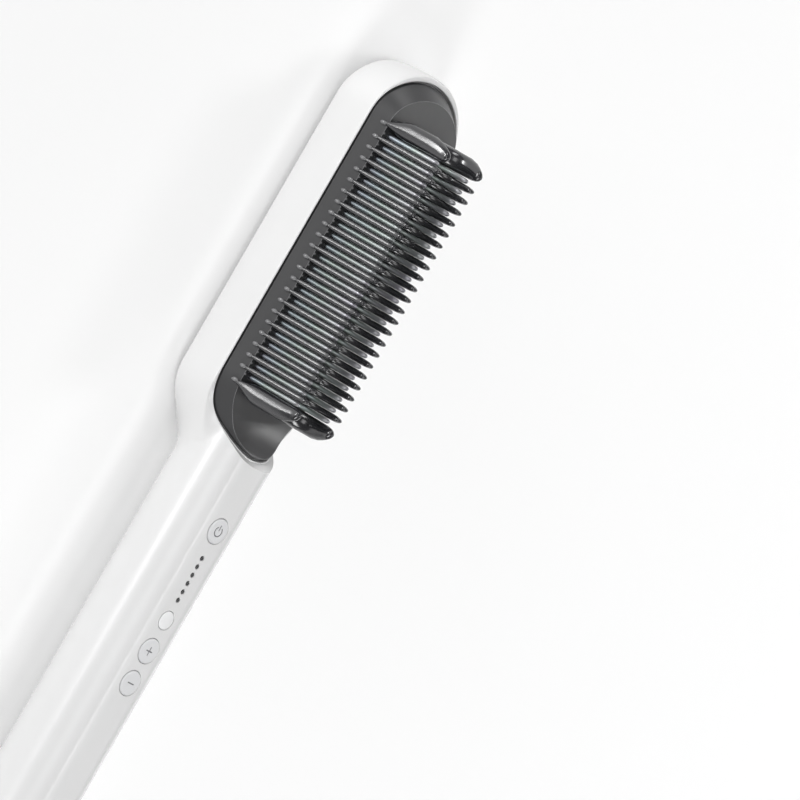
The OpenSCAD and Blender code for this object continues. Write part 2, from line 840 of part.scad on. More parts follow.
// Push switch: a housing on the board with a round well for its plunger
module switch(x) {
    color("dimgray") translate([x, 0, 0]) difference() {
        block(-switch_w / 2, switch_w / 2, switch_w / 2, board_top, switch_top);
        translate([0, 0, switch_top - well_t]) cylinder(r = plunger_r + 0.3, h = well_t + over);
    }
}

module power_switch() {
    switch(power_x);
}

module plus_switch() {
    switch(plus_x);
}

module minus_switch() {
    switch(minus_x);
}

module plunger(x) {
    color("white") translate([x, 0, switch_top - plunger_in])
        cylinder(r = plunger_r, h = plunger_top - switch_top + plunger_in);
}

module power_plunger() {
    plunger(power_x);
}

module plus_plunger() {
    plunger(plus_x);
}

module minus_plunger() {
    plunger(minus_x);
}

// Push button: a cap with a flange that holds it in, a stem, and a shallow sign on its face
module button(x) {
    top = flat_h + button_proud;
    color("white") translate([x, 0, 0]) difference() {
        union() {
            translate([0, 0, button_low]) {
                cylinder(d = button_d, h = top - button_low);
                cylinder(d = button_d + 2 * flange_over, h = flange_t);
            }
            translate([0, 0, plunger_top]) cylinder(r = stem_r, h = button_low - plunger_top + eps);
        }
        translate([0, 0, top - sign_t]) children();
    }
}

// Open ring with a bar in its gap
module power_button() {
    button(power_x) {
        rotate([0, 0, 35]) rotate_extrude(angle = 290) translate([stem_r, 0])
            square([sign_w, over]);
        translate([sign_l / 5, -sign_w / 2, 0]) cube([0.65 * sign_l, sign_w, over]);
    }
}

module sign_bar() {
    translate([-sign_w / 2, -sign_l / 2, 0]) cube([sign_w, sign_l, over]);
}

module plus_button() {
    button(plus_x) {
        sign_bar();
        rotate([0, 0, 90]) sign_bar();
    }
}

module minus_button() {
    button(minus_x) sign_bar();
}

module level_leds() {
    color("white") for (i = [0 : lights - 1]) translate([light_x - i * light_pitch, 0, 0])
        block(-0.4, 0.4, 0.8, board_top, board_top + led_h);
}

// Pin that leads the light of a lamp up to a guide's underside
module light_pin(r, top) {
    foot = board_top + led_h + led_gap;
    translate([0, 0, foot]) cylinder(r = r, h = top - foot + eps);
}

// Dark clear bar under the strip with one pin in each hole
module level_light_guide() {
    color("dimgray") {
        block(last_light_x - guide_over, light_x + guide_over, guide_over, inner_flat - guide_t,
            inner_flat);
        for (i = [0 : lights - 1]) translate([light_x - i * light_pitch, 0, 0]) {
            translate([0, 0, inner_flat - eps])
                cylinder(d = light_d - fit, h = flat_h - inner_flat + eps);
            light_pin(guide_over / 2, inner_flat - guide_t);
        }
    }
}

module indicator_led() {
    color("white") translate([lens_x, 0, 0]) block(-1.7, 1.7, 1.4, board_top, board_top + led_h);
}

module indicator_lens() {
    color("whitesmoke") translate([lens_x, 0, 0]) {
        translate([0, 0, inner_flat - eps]) cylinder(d = lens_d, h = flat_h - inner_flat + eps);
        translate([0, 0, inner_flat - lens_flange_t])
            cylinder(d = lens_d + 2 * lens_flange, h = lens_flange_t);
        light_pin(stem_r, inner_flat - lens_flange_t);
    }
}

module control_chip() {
    color("black") block(chip[0], chip[0] + chip[1], chip[2], board_top, board_top + chip[3]);
}

// Block that hangs under the board
module under_board(size) {
    block(size[0], size[0] + size[1], size[2], board_z - size[3], board_z);
}

module power_triac() {
    color("black") under_board(triac);
}

module supply_capacitor() {
    color("gold") under_board(capacitor);
}

module heater_terminal() {
    color("seagreen") under_board(heater_block);
}

module supply_terminal() {
    color("seagreen") under_board(supply_block);
}

module line_fuse() {
    color("lightgray") translate([0, 0, board_z - fuse_tube[2]])
        rod(fuse_tube[0], fuse_tube[1], fuse_tube[2]);
}

// Leads from the brushes to the board
module supply_wires() {
    color("firebrick") for (i = [0, 1]) let (y = (2 * i - 1) * brush_y)
        wire(run([ring_x + i * ring_step + ring_l, y, (3 - i) * thin_wire_r - brush_z],
            [supply_block[0], y, board_z - 0.75 * supply_block[3]]), thin_wire_r);
}

// Gland that turns in the end cap and holds the cord
module cord_gland() {
    bore = cord_bore_d / 2;
    neck = neck_d / 2;
    shoulder = shoulder_d / 2;
    color("white") turned() polygon([[bore, 0], [shoulder - 2.6, 0], [shoulder - 1.8, 1.2],
        [shoulder, gland_out - 1.4], [shoulder, gland_out], [neck, gland_out], [neck, clip_x],
        [groove_r, clip_x], [groove_r, clip_x + clip_t], [neck, clip_x + clip_t],
        [neck, clip_x + 2 * clip_t], [shaft_r, clip_x + 2 * clip_t], [shaft_r, shaft_end],
        [core_r, shaft_end], [core_r, cord_bore_l], [bore, cord_bore_l]]);
}

// Open ring in the gland's groove
module swivel_clip() {
    color("dimgray") difference() {
        rod(clip_x, clip_t, clip_r);
        rod(clip_x - over, clip_t + 2 * over, groove_r);
        translate([clip_x - over, -clip_mouth / 2, 0])
            cube([clip_t + 2 * over, clip_mouth, 2 * clip_r]);
    }
}

module contact_rings() {
    color("goldenrod") for (i = [0, 1]) translate([ring_x + i * ring_step, 0, 0]) difference() {
        rod(0, ring_l, ring_r);
        rod(-over, ring_l + 2 * over, shaft_r);
    }
}

// One brush under each contact ring
module contact_brushes() {
    color("goldenrod") for (i = [0, 1])
        translate([ring_x + i * ring_step, (2 * i - 1) * brush_y, 0])
            block(0, ring_l, brush_half, -brush_z, -ring_r - swivel_gap);
}

module brush_holder() {
    color("ivory") intersection() {
        rod(sled_x, shaft_end - sled_x + 4, sled_r - sled_wall - eps);
        block(sled_x + bulkhead_t, shaft_end + 2, brush_z, -sled_r, -brush_z);
    }
}

body_shell();
end_cap();
cap_screws();
comb_cover();
cover_screws();
back_bezel();
back_plate();
heating_plate();
plate_screws();
upper_insulator();
upper_electrode();
ceramic_heaters();
lower_electrode();
lower_insulator();
heater_clamp();
clamp_screws();
thermal_fuse();
temperature_sensor();
heat_shield();
heater_wires();
sensor_wires();
control_sled();
control_board();
board_screws();
power_switch();
plus_switch();
minus_switch();
power_plunger();
plus_plunger();
minus_plunger();
power_button();
plus_button();
minus_button();
level_leds();
level_light_guide();
indicator_led();
indicator_lens();
control_chip();
power_triac();
supply_capacitor();
line_fuse();
heater_terminal();
supply_terminal();
supply_wires();
cord_gland();
swivel_clip();
contact_rings();
contact_brushes();
brush_holder();
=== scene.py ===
import bpy
import bmesh
import cmath
import json
import numpy as np
from math import atan2, cos, pi, radians, sin, sqrt, tan
from mathutils import Matrix, Vector


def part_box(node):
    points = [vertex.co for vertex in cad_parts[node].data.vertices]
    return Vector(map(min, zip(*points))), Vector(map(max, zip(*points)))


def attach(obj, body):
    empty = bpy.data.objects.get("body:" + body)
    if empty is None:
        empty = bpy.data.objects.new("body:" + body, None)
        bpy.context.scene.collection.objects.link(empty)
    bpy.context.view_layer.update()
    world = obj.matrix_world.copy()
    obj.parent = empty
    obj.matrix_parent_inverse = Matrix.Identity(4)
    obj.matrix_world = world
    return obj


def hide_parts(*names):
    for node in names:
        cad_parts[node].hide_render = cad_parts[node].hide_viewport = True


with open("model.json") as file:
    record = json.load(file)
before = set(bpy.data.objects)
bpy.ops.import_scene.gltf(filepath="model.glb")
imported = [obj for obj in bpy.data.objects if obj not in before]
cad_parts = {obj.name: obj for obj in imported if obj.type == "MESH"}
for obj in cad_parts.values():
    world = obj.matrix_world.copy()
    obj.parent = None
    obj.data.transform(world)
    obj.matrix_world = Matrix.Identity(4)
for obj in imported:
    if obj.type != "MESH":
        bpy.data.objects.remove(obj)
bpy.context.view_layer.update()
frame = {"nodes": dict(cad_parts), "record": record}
print("frame loaded:", len(frame["nodes"]), "nodes")

mm = 0.001  # the outlines below are in millimetres, the scene is in metres


# small tools for shapes

def showPiece(name, data):
    piece = bpy.data.objects.new(name, data)
    bpy.context.scene.collection.objects.link(piece)
    return piece


def solidFrom(name, points, faces):
    # points in mm; doubles merged and faces turned outward
    mesh = bpy.data.meshes.new(name)
    mesh.from_pydata([tuple(float(c) * mm for c in p) for p in points], [], faces)
    work = bmesh.new()
    work.from_mesh(mesh)
    bmesh.ops.remove_doubles(work, verts=work.verts, dist=2e-6)
    bmesh.ops.dissolve_degenerate(work, edges=work.edges, dist=1e-7)
    bmesh.ops.recalc_face_normals(work, faces=work.faces)
    work.to_mesh(mesh)
    work.free()
    return showPiece(name, mesh)


def ringFaces(rows, count, wrap=True):
    # quads between neighbouring rings of equal counts
    return [(row * count + k, row * count + (k + 1) % count,
             (row + 1) * count + (k + 1) % count, (row + 1) * count + k)
            for row in range(rows - 1) for k in range(count if wrap else count - 1)]


def loft(name, rings):
    # closed solid through rings, flat at both ends
    count, last = len(rings[0]), (len(rings) - 1) * len(rings[0])
    faces = ringFaces(len(rings), count)
    faces += [tuple(range(count - 1, -1, -1)), tuple(range(last, last + count))]
    return solidFrom(name, np.concatenate(rings), faces)


def loftLoop(name, rings):
    # rings joined last to first, as for a bezel
    return solidFrom(name, np.concatenate(rings + rings[:1]), ringFaces(len(rings) + 1, len(rings[0])))


def roundCorners(corners, steps=4):
    # corners are (a, b, radius); each one becomes an arc
    spots = [complex(a, b) for a, b, radius in corners]
    out = spots[:1]
    for i in range(1, len(corners) - 1):
        here, radius = spots[i], corners[i][2]
        if radius <= 0:
            out.append(here)
            continue
        toLast, toNext = spots[i - 1] - here, spots[i + 1] - here
        room = 0.49 * min(abs(toLast), abs(toNext))
        toLast, toNext = toLast / abs(toLast), toNext / abs(toNext)
        half = abs(cmath.phase(toNext / toLast)) / 2
        run = min(radius / tan(half), room)
        middle = here + (toLast + toNext) / abs(toLast + toNext) * run / cos(half)
        start, end = here + toLast * run - middle, here + toNext * run - middle
        turn = cmath.phase(end / start)
        out += [middle + start * cmath.exp(1j * turn * k / steps) for k in range(steps + 1)]
    return [(p.real, p.imag) for p in out + spots[-1:]]


def turned(name, profile, place, axis="Z", sides=64):
    # profile is (radius, height); it closes on the axis or on itself
    angles = np.arange(sides) * 2 * pi / sides
    rings = []
    for radius, height in profile:
        ring = [radius * np.cos(angles), radius * np.sin(angles)]
        ring.insert(2 if axis == "Z" else 0, np.full(sides, float(height)))
        rings.append(np.stack(ring, 1) + np.array(place))
    closesOnItself = profile[0][0] > 0.001
    return loftLoop(name, rings) if closesOnItself else loft(name, rings)


def strokeOutline(path, width, steps=6):
    # outline of a pen stroke with round ends
    path = np.array(path, float)
    along = np.gradient(path, axis=0)
    along /= np.linalg.norm(along, axis=1)[:, None]
    side = np.stack([-along[:, 1], along[:, 0]], 1) * width / 2

    def roundEnd(end, heading):
        turns = atan2(heading[1], heading[0]) + pi * (0.5 - np.arange(1, steps) / steps)
        return end + width / 2 * np.column_stack([np.cos(turns), np.sin(turns)])

    return np.concatenate([path + side, roundEnd(path[-1], along[-1]),
                           (path - side)[::-1], roundEnd(path[0], -along[0])])


def screwBoss(x, y, low, top, radius=2.6, bore=1.05):
    # hollow post for a screw
    profile = [(bore, low), (radius, low), (radius, top), (bore, top)]
    return turned("boss", profile, (x, y, 0), sides=24)


def rectangle(left, low, right, high):
    return np.array([(left, low), (right, low), (right, high), (left, high)])


def prism(name, outline, low, high):
    return loft(name, [np.column_stack([outline, np.full(len(outline), z)]) for z in (low, high)])


def combine(piece, other, operation="DIFFERENCE"):
    step = piece.modifiers.new("combine", "BOOLEAN")
    step.operation, step.object, step.solver = operation, other, "EXACT"
    settle(piece)
    bpy.data.objects.remove(other)
    return piece


def settle(piece):
    # modifiers become plain mesh
    graph = bpy.context.evaluated_depsgraph_get()
    graph.update()
    done = bpy.data.meshes.new_from_object(piece.evaluated_get(graph), depsgraph=graph)
    piece.modifiers.clear()
    old = piece.data
    done.name = piece.name
    piece.data = done
    bpy.data.meshes.remove(old)
    return piece


def finishShape(piece, angle, weighted=True):
    # smooth shading with sharp edges above the angle
    piece.data.shade_smooth()
    piece.data.set_sharp_from_angle(angle=radians(angle))
    if weighted:
        piece.modifiers.new("weighted", "WEIGHTED_NORMAL").keep_sharp = True
        settle(piece)
    return piece


def joinPieces(pieces):
    # the first piece takes in the others
    work = bmesh.new()
    for piece in pieces:
        work.from_mesh(piece.data)
    work.to_mesh(pieces[0].data)
    work.free()
    for piece in pieces[1:]:
        bpy.data.objects.remove(piece)
    return pieces[0]


def paint(piece, material):
    piece.data.materials.clear()
    piece.data.materials.append(material)
    return piece


def settlePiece(piece, material, body, slot, *nodes):
    if material is not None:
        paint(piece, material)
    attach(piece, body)
    if nodes:
        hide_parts(*nodes)
    return piece


def smoothMin(a, b, soft):
    h = np.clip(0.5 + 0.5 * (b - a) / soft, 0, 1)
    return b * (1 - h) + a * h - soft * h * (1 - h)


def smoothStep(value, low, high):
    t = np.clip((value - low) / (high - low), 0, 1)
    return t * t * (3 - 2 * t)


def arc(*degrees):
    return [radians(turn) for turn in degrees]


# outlines and places shared by several pieces

headPlace = {"middle": 212.3, "depth": 15.8}
headOval = {"length": 131.4, "width": 44.4, "end": 18.95, "corner": 15.16, "roundTail": False}
coverOval = {"length": 126.6, "width": 42.0, "end": 16.55, "corner": 13.24, "roundTail": True}
bezelOval = {"length": 127.8, "width": 41.9, "end": 17.15, "corner": 13.72, "roundTail": False}
plateOval = {"length": 118.0, "width": 34.9, "end": 14.6, "corner": 11.68, "roundTail": False}
outlineSteps = {"tip": 20, "corner": 12, "side": 56}
buttonPlaces = {"power": 124.8, "plus": 82.75, "minus": 71.45}
lensPlace = 93.45
lightPlaces = [115.3 - 2.93 * i for i in range(6)]
coverScrews = [(headPlace["middle"] + x, y) for x in (-54, 54) for y in (-8, 8)]
comb = {"middle": 212.8, "pitch": 3.839, "fins": 23, "endInner": 43.0}


def arcPoints(x, y, radius, first, last, count):
    turns = first + (last - first) * np.arange(count) / count
    return np.column_stack([x + radius * np.cos(turns), y + radius * np.sin(turns)])


def ovalOutline(oval, grow=0.0):
    # anticlockwise from the tip, the same count of points for every grow
    half, reach = oval["width"] / 2 + grow, oval["length"] / 2 + grow
    end, corner = oval["end"] + grow, oval["corner"] + grow
    wide = (end ** 2 + (half - corner) ** 2 - corner ** 2) / (2 * (end - corner))  # radius across the tip
    turn = atan2(half - corner, wide - end)
    tip, bend, side = outlineSteps["tip"], outlineSteps["corner"], outlineSteps["side"]
    right, left = reach - end, -reach + (half if oval["roundTail"] else end)
    upper = [arcPoints(reach - wide, 0, wide, 0, turn, tip),
             arcPoints(right, half - corner, corner, turn, pi / 2, bend),
             np.column_stack([right + (left - right) * np.arange(side) / side, np.full(side, half)])]
    if oval["roundTail"]:
        upper.append(arcPoints(left, 0, half, pi / 2, pi, tip + bend))
    else:
        upper += [arcPoints(left, half - corner, corner, pi / 2, pi - turn, bend),
                  arcPoints(wide - reach, 0, wide, pi - turn, pi, tip)]
    upper = np.concatenate(upper + [[(-reach, 0)]])
    lower = upper[1:-1][::-1] * [1, -1]
    return np.concatenate([upper, lower]) + [headPlace["middle"], 0]


def ringAt(outline, height):
    return np.column_stack([outline, np.broadcast_to(height, len(outline))])


def stack(oval, steps):
    # rings of one outline, each with its growth and its height
    return [ringAt(ovalOutline(oval, grow), height) for grow, height in steps]


def outsideDistance(points, outline, chunk=1500):
    # signed distance in plan from an outline, positive outside; a chunk of points at a time
    edge = np.roll(outline, -1, 0) - outline
    lengths = (edge ** 2).sum(1)
    out = []
    for first in range(0, len(points), chunk):
        way = points[first:first + chunk, None, :] - outline[None]
        t = np.clip((way * edge).sum(2) / lengths, 0, 1)
        gap = np.linalg.norm(way - edge * t[:, :, None], axis=2)
        near = gap.argmin(1)
        row = np.arange(len(near))
        side = edge[near, 0] * way[row, near, 1] - edge[near, 1] * way[row, near, 0]
        out.append(np.where(side < 0, gap[row, near], -gap[row, near]))
    return np.concatenate(out)


# shader parts shared by several finishes

def feed(tree, socket, value):
    # an output is linked to the socket, a value is set on it, a colour with full alpha
    if isinstance(value, bpy.types.NodeSocket):
        tree.links.new(value, socket)
    else:
        socket.default_value = (*value, 1) if socket.type == "RGBA" else value


def node(tree, kind, inputs=None, **settings):
    # new node with its settings and inputs; returns its outputs
    made = tree.nodes.new(kind)
    for name, value in settings.items():
        setattr(made, name, value)
    for key, value in (inputs or {}).items():
        feed(tree, made.inputs[key], value)
    return made.outputs


def groupOf(name, inputs, outputs):
    # shader group whose inputs and outputs are all plain numbers
    tree = bpy.data.node_groups.new(name, "ShaderNodeTree")
    for label, value in inputs.items():
        socket = tree.interface.new_socket(label, in_out="INPUT", socket_type="NodeSocketFloat")
        socket.default_value = value
    for label in outputs:
        tree.interface.new_socket(label, in_out="OUTPUT", socket_type="NodeSocketFloat")
    return tree, node(tree, "NodeGroupInput"), tree.nodes.new("NodeGroupOutput").inputs


def objectPlace(tree):
    return node(tree, "ShaderNodeTexCoord")["Object"]


def mathNode(tree, operation, *values, clamp=False):
    return node(tree, "ShaderNodeMath", dict(enumerate(values)), operation=operation, use_clamp=clamp)[0]


def noiseOn(tree, vector, scale, detail, rough=0.5):
    return node(tree, "ShaderNodeTexNoise",
                {"Vector": vector, "Scale": scale, "Detail": detail, "Roughness": rough})["Fac"]


def mouldedSkin():
    # fine pebbled skin of moulded plastic, slow shade drift and smudges
    tree, inn, out = groupOf("mouldedSkin", {"Grain Scale": 2600.0, "Drift Scale": 40.0, "Smudge Scale": 90.0},
                             ("Height", "Drift", "Smudge"))
    place = objectPlace(tree)
    smudge = noiseOn(tree, place, inn["Smudge Scale"], 4.0, 0.62)
    feed(tree, out["Height"], noiseOn(tree, place, inn["Grain Scale"], 2.0))
    feed(tree, out["Drift"], noiseOn(tree, place, inn["Drift Scale"], 2.0))
    feed(tree, out["Smudge"], mathNode(tree, "MULTIPLY_ADD", smudge, 2.2, 0.5, clamp=True))
    return tree


def settledDust():
    # mask that is stronger on faces turned up and in broken patches
    tree, inn, out = groupOf("settledDust", {"Amount": 0.1, "Patch Scale": 120.0}, ("Mask",))
    up = node(tree, "ShaderNodeSeparateXYZ", {0: node(tree, "ShaderNodeNewGeometry")["Normal"]})["Z"]
    patch = noiseOn(tree, objectPlace(tree), inn["Patch Scale"], 5.0, 0.7)
    facing = mathNode(tree, "MULTIPLY", mathNode(tree, "MAXIMUM", up, 0.0), patch)
    feed(tree, out["Mask"], mathNode(tree, "MULTIPLY", facing, inn["Amount"], clamp=True))
    return tree


def edgeWearAndHighlight():
    # mask on convex edges, broken up by noise: edge wear on the metals and fins, a painted highlight along the dark
    # cover's creases
    tree, inn, out = groupOf("edgeWearAndHighlight", {"Width": 0.0004, "Break Up": 900.0}, ("Mask",))
    rounded = node(tree, "ShaderNodeBevel", {"Radius": inn["Width"]}, samples=4)[0]
    facing = node(tree, "ShaderNodeNewGeometry")["Normal"]
    dot = node(tree, "ShaderNodeVectorMath", {0: rounded, 1: facing}, operation="DOT_PRODUCT")["Value"]
    bend = mathNode(tree, "MULTIPLY", mathNode(tree, "SUBTRACT", 1.0, dot), 14.0)
    broken = noiseOn(tree, objectPlace(tree), inn["Break Up"], 4.0, 0.7)
    feed(tree, out["Mask"], mathNode(tree, "MULTIPLY", bend, broken, clamp=True))
    return tree


skinGroup, dustGroup, edgeGroup = mouldedSkin(), settledDust(), edgeWearAndHighlight()


def placeGroup(tree, group, label, value):
    return node(tree, "ShaderNodeGroup", {label: value}, node_tree=group)


def colourRamp(tree, fac, stops):
    made = tree.nodes.new("ShaderNodeValToRGB")
    elements = made.color_ramp.elements
    for element, (position, colour) in zip(elements, (stops[0], stops[-1])):
        element.position, element.color = position, (*colour, 1)
    for position, colour in stops[1:-1]:
        elements.new(position).color = (*colour, 1)
    feed(tree, made.inputs[0], fac)
    return made.outputs[0]


def mixColour(tree, fac, a, b):
    return node(tree, "ShaderNodeMix", {0: fac, 6: a, 7: b}, data_type="RGBA")[2]


def shaderOf(name, **fixed):
    material = bpy.data.materials.new(name)
    material.use_nodes = True
    tree = material.node_tree
    shader = tree.nodes["Principled BSDF"].inputs
    for label, value in fixed.items():
        feed(tree, shader[label.replace("_", " ")], value)
    return material, tree, shader


def bumpFrom(tree, shader, height, strength, distance):
    bump = node(tree, "ShaderNodeBump", {"Strength": strength, "Distance": distance, "Height": height})
    feed(tree, shader["Normal"], bump[0])


def spread(tree, fac, low, high):
    # a mask from 0..1 to low..high
    return mathNode(tree, "ADD", mathNode(tree, "MULTIPLY", fac, high - low), low)


def grey(tone):
    # a lone number stands for a grey
    return tone if isinstance(tone, tuple) else (tone,) * 3


dustTone = (0.62, 0.6, 0.57)


def mouldedPlastic(name, light, shade, rough, grain, dust=0.0, coat=0.0, coatRough=0.12, edge=None, ior=1.46):
    material, tree, shader = shaderOf(name, IOR=ior, Coat_Weight=coat, Coat_Roughness=coatRough)
    skin = placeGroup(tree, skinGroup, "Grain Scale", grain[0])
    colour = mixColour(tree, skin["Drift"], grey(shade), grey(light))
    # paler colour on convex edges; on the dark cover this is a painted highlight along its creases
    if edge:
        colour = mixColour(tree, placeGroup(tree, edgeGroup, "Width", edge[0])["Mask"], colour, edge[1])
    if dust:
        colour = mixColour(tree, placeGroup(tree, dustGroup, "Amount", dust)["Mask"], colour, dustTone)
    feed(tree, shader["Base Color"], colour)
    feed(tree, shader["Roughness"], spread(tree, skin["Smudge"], *rough))
    bumpFrom(tree, shader, skin["Height"], grain[1], 0.0001)
    return material


def metalFinish(name, light, shade, rough, stretch, grainScale, bump=0.15):
    material, tree, shader = shaderOf(name, Metallic=1.0)
    place = objectPlace(tree)
    along = node(tree, "ShaderNodeMapping", {"Vector": place, "Scale": stretch})[0]
    grain = noiseOn(tree, along, grainScale, 4.0, 0.6)
    cloud = mathNode(tree, "ADD", noiseOn(tree, place, 70.0, 3.0), 0.4)
    colour = mixColour(tree, grain, shade, light)
    worn = placeGroup(tree, edgeGroup, "Width", 0.0003)["Mask"]
    feed(tree, shader["Base Color"], mixColour(tree, worn, colour, tuple(min(1, c * 1.15) for c in light)))
    feed(tree, shader["Roughness"], spread(tree, mathNode(tree, "MULTIPLY", grain, cloud), *rough))
    bumpFrom(tree, shader, grain, bump, 0.00005)
    return material


def coatedFins():
    # dark ceramic coat on aluminium, with a faint colour play along its height
    material, tree, shader = shaderOf("coatedFinMetal", IOR=1.5, Coat_Weight=0.3, Coat_Roughness=0.2, Metallic=0.6)
    place = objectPlace(tree)
    height = mathNode(tree, "MULTIPLY", node(tree, "ShaderNodeSeparateXYZ", {0: place})["Z"], 30.0)
    wave = mathNode(tree, "MULTIPLY", noiseOn(tree, place, 55.0, 2.0), 0.7)
    tint = colourRamp(tree, mathNode(tree, "FRACT", mathNode(tree, "ADD", height, wave)), [
        (0.0, (0.5, 0.5, 0.53)), (0.3, (0.49, 0.47, 0.56)), (0.5, (0.44, 0.5, 0.55)),
        (0.7, (0.45, 0.52, 0.49)), (1.0, (0.5, 0.5, 0.53))])
    worn = placeGroup(tree, edgeGroup, "Width", 0.00012)["Mask"]
    feed(tree, shader["Base Color"], mixColour(tree, worn, tint, (0.56, 0.56, 0.58)))
    skin = placeGroup(tree, skinGroup, "Grain Scale", 4200.0)
    feed(tree, shader["Roughness"], spread(tree, skin["Smudge"], 0.28, 0.42))
    bumpFrom(tree, shader, skin["Height"], 0.12, 0.00008)
    return material


# finishes by slot: name, light and shaded tone, roughness from and to, grain's scale and strength, the rest

plastics = {
    "white_shell": ("whiteShellPlastic", 0.715, 0.69, (0.3, 0.38), (2400, 0.04), dict(coat=1.0, coatRough=0.25)),
    "button_white": ("whiteButtonPlastic", (0.7, 0.705, 0.715), (0.67, 0.675, 0.685), (0.32, 0.42), (3000, 0.06),
        dict(coat=0.1)),
    "white_plastic": ("whitePlainPlastic", (0.8, 0.8, 0.79), (0.77, 0.77, 0.76), (0.38, 0.5), (2400, 0.08), {}),
    # the dark cover's pale colour on its convex edges is a painted highlight along its creases
    "dark_plastic": ("darkCombPlastic", (0.056, 0.056, 0.058), (0.046, 0.046, 0.048), (0.28, 0.38), (3200, 0.06),
        dict(dust=0.02, edge=(0.0003, (0.3, 0.3, 0.31)), ior=1.52)),
    "bezel_silver": ("bezelSilverPlastic", (0.44, 0.44, 0.445), (0.39, 0.39, 0.395), (0.42, 0.55), (5200, 0.3),
        dict(dust=0.03)),
    "insulating_film": ("amberFilm", (0.62, 0.3, 0.05), (0.5, 0.22, 0.03), (0.2, 0.34), (900, 0.04), {}),
    "heater_ceramic": ("heaterCeramic", (0.36, 0.35, 0.33), (0.28, 0.27, 0.26), (0.6, 0.8), (1800, 0.35),
        dict(dust=0.05)),
    "sensor_glass": ("sensorGlass", (0.62, 0.3, 0.16), (0.52, 0.22, 0.1), (0.08, 0.16), (600, 0.02), dict(coat=0.6)),
    "shield_sheet": ("micaSheet", (0.48, 0.4, 0.22), (0.36, 0.29, 0.15), (0.3, 0.6), (500, 0.2), dict(dust=0.05)),
    "silicone_lead": ("redSilicone", (0.38, 0.03, 0.025), (0.3, 0.02, 0.02), (0.42, 0.55), (1500, 0.1),
        dict(dust=0.03)),
    "sensor_lead": ("blackSleeve", 0.03, 0.02, (0.4, 0.55), (1500, 0.1), dict(dust=0.03)),
    "sled_plastic": ("sledPlastic", (0.6, 0.6, 0.57), (0.55, 0.55, 0.52), (0.45, 0.6), (1600, 0.15), dict(dust=0.05)),
    "board_laminate": ("boardLaminate", (0.03, 0.16, 0.06), (0.02, 0.12, 0.045), (0.22, 0.4), (800, 0.12),
        dict(dust=0.05, coat=0.4)),
    "switch_plastic": ("switchPlastic", (0.04, 0.04, 0.042), (0.03, 0.03, 0.032), (0.4, 0.55), (1800, 0.15),
        dict(dust=0.04)),
    "lamp_resin": ("lampResin", (0.8, 0.78, 0.66), (0.74, 0.71, 0.58), (0.15, 0.25), (900, 0.03), dict(coat=0.3)),
    "guide_dark": ("darkGuide", (0.016, 0.016, 0.018), (0.01, 0.01, 0.012), (0.12, 0.2), (900, 0.02), dict(coat=0.5)),
    "lens_white": ("milkLens", (0.84, 0.845, 0.85), (0.81, 0.815, 0.82), (0.16, 0.24), (900, 0.02), dict(coat=0.3)),
    "chip_resin": ("chipResin", 0.03, 0.02, (0.5, 0.7), (2200, 0.3), dict(dust=0.05)),
    "capacitor_film": ("capacitorCase", (0.55, 0.33, 0.03), (0.45, 0.26, 0.02), (0.3, 0.45), (1200, 0.08),
        dict(dust=0.05)),
    "terminal_plastic": ("terminalPlastic", (0.03, 0.22, 0.07), (0.02, 0.17, 0.05), (0.4, 0.55), (1600, 0.12),
        dict(dust=0.05)),
    "guard": ("guardToothPlastic", (0.022, 0.022, 0.025), (0.015, 0.015, 0.018), (0.15, 0.21), (3600, 0.03),
        dict(ior=1.75, coat=0.4)),
    # the root knobs' pale grey tone is a painted highlight for the glint on their rounded ends
    "knob": ("rootKnobPaintedHighlight", (0.2, 0.2, 0.205), (0.16, 0.16, 0.165), (0.15, 0.22), (3600, 0.03), dict(coat=0.5)),
    "sign": ("greySignPaint", (0.22, 0.22, 0.23), (0.18, 0.18, 0.19), (0.4, 0.5), (3000, 0.05), {}),
}
# metals have how their grain is stretched, its scale and sometimes its strength
metals = {
    "plate_silver": ("plateMetal", (0.83, 0.83, 0.835), (0.79, 0.79, 0.795), (0.16, 0.3), (1, 1, 1), 420, 0.04),
    "bare_aluminium": ("millAluminium", (0.72, 0.72, 0.73), (0.62, 0.62, 0.63), (0.28, 0.5), (1, 12, 12), 500),
    "screw_steel": ("zincSteel", (0.56, 0.56, 0.57), (0.46, 0.46, 0.47), (0.25, 0.45), (1, 1, 1), 1500),
    "spring_steel": ("springSteel", (0.34, 0.34, 0.36), (0.24, 0.24, 0.26), (0.25, 0.4), (1, 1, 1), 1200),
    "copper_strip": ("copperStrip", (0.85, 0.47, 0.3), (0.7, 0.34, 0.2), (0.22, 0.45), (1, 14, 14), 380),
    "contact_brass": ("contactBrass", (0.8, 0.62, 0.3), (0.68, 0.5, 0.22), (0.2, 0.4), (14, 1, 1), 500),
    "fuse_body": ("fuseSleeve", (0.72, 0.72, 0.74), (0.62, 0.62, 0.64), (0.2, 0.4), (1, 1, 1), 800),
}
finish = {slot: metalFinish(*values) for slot, values in metals.items()}
for slot, (*values, rest) in plastics.items():
    finish[slot] = mouldedPlastic(*values, **rest)
finish["coated_aluminium"] = coatedFins()
print("finishes made:", len(finish))


# white shell: the head's tray and the handle's tube in one

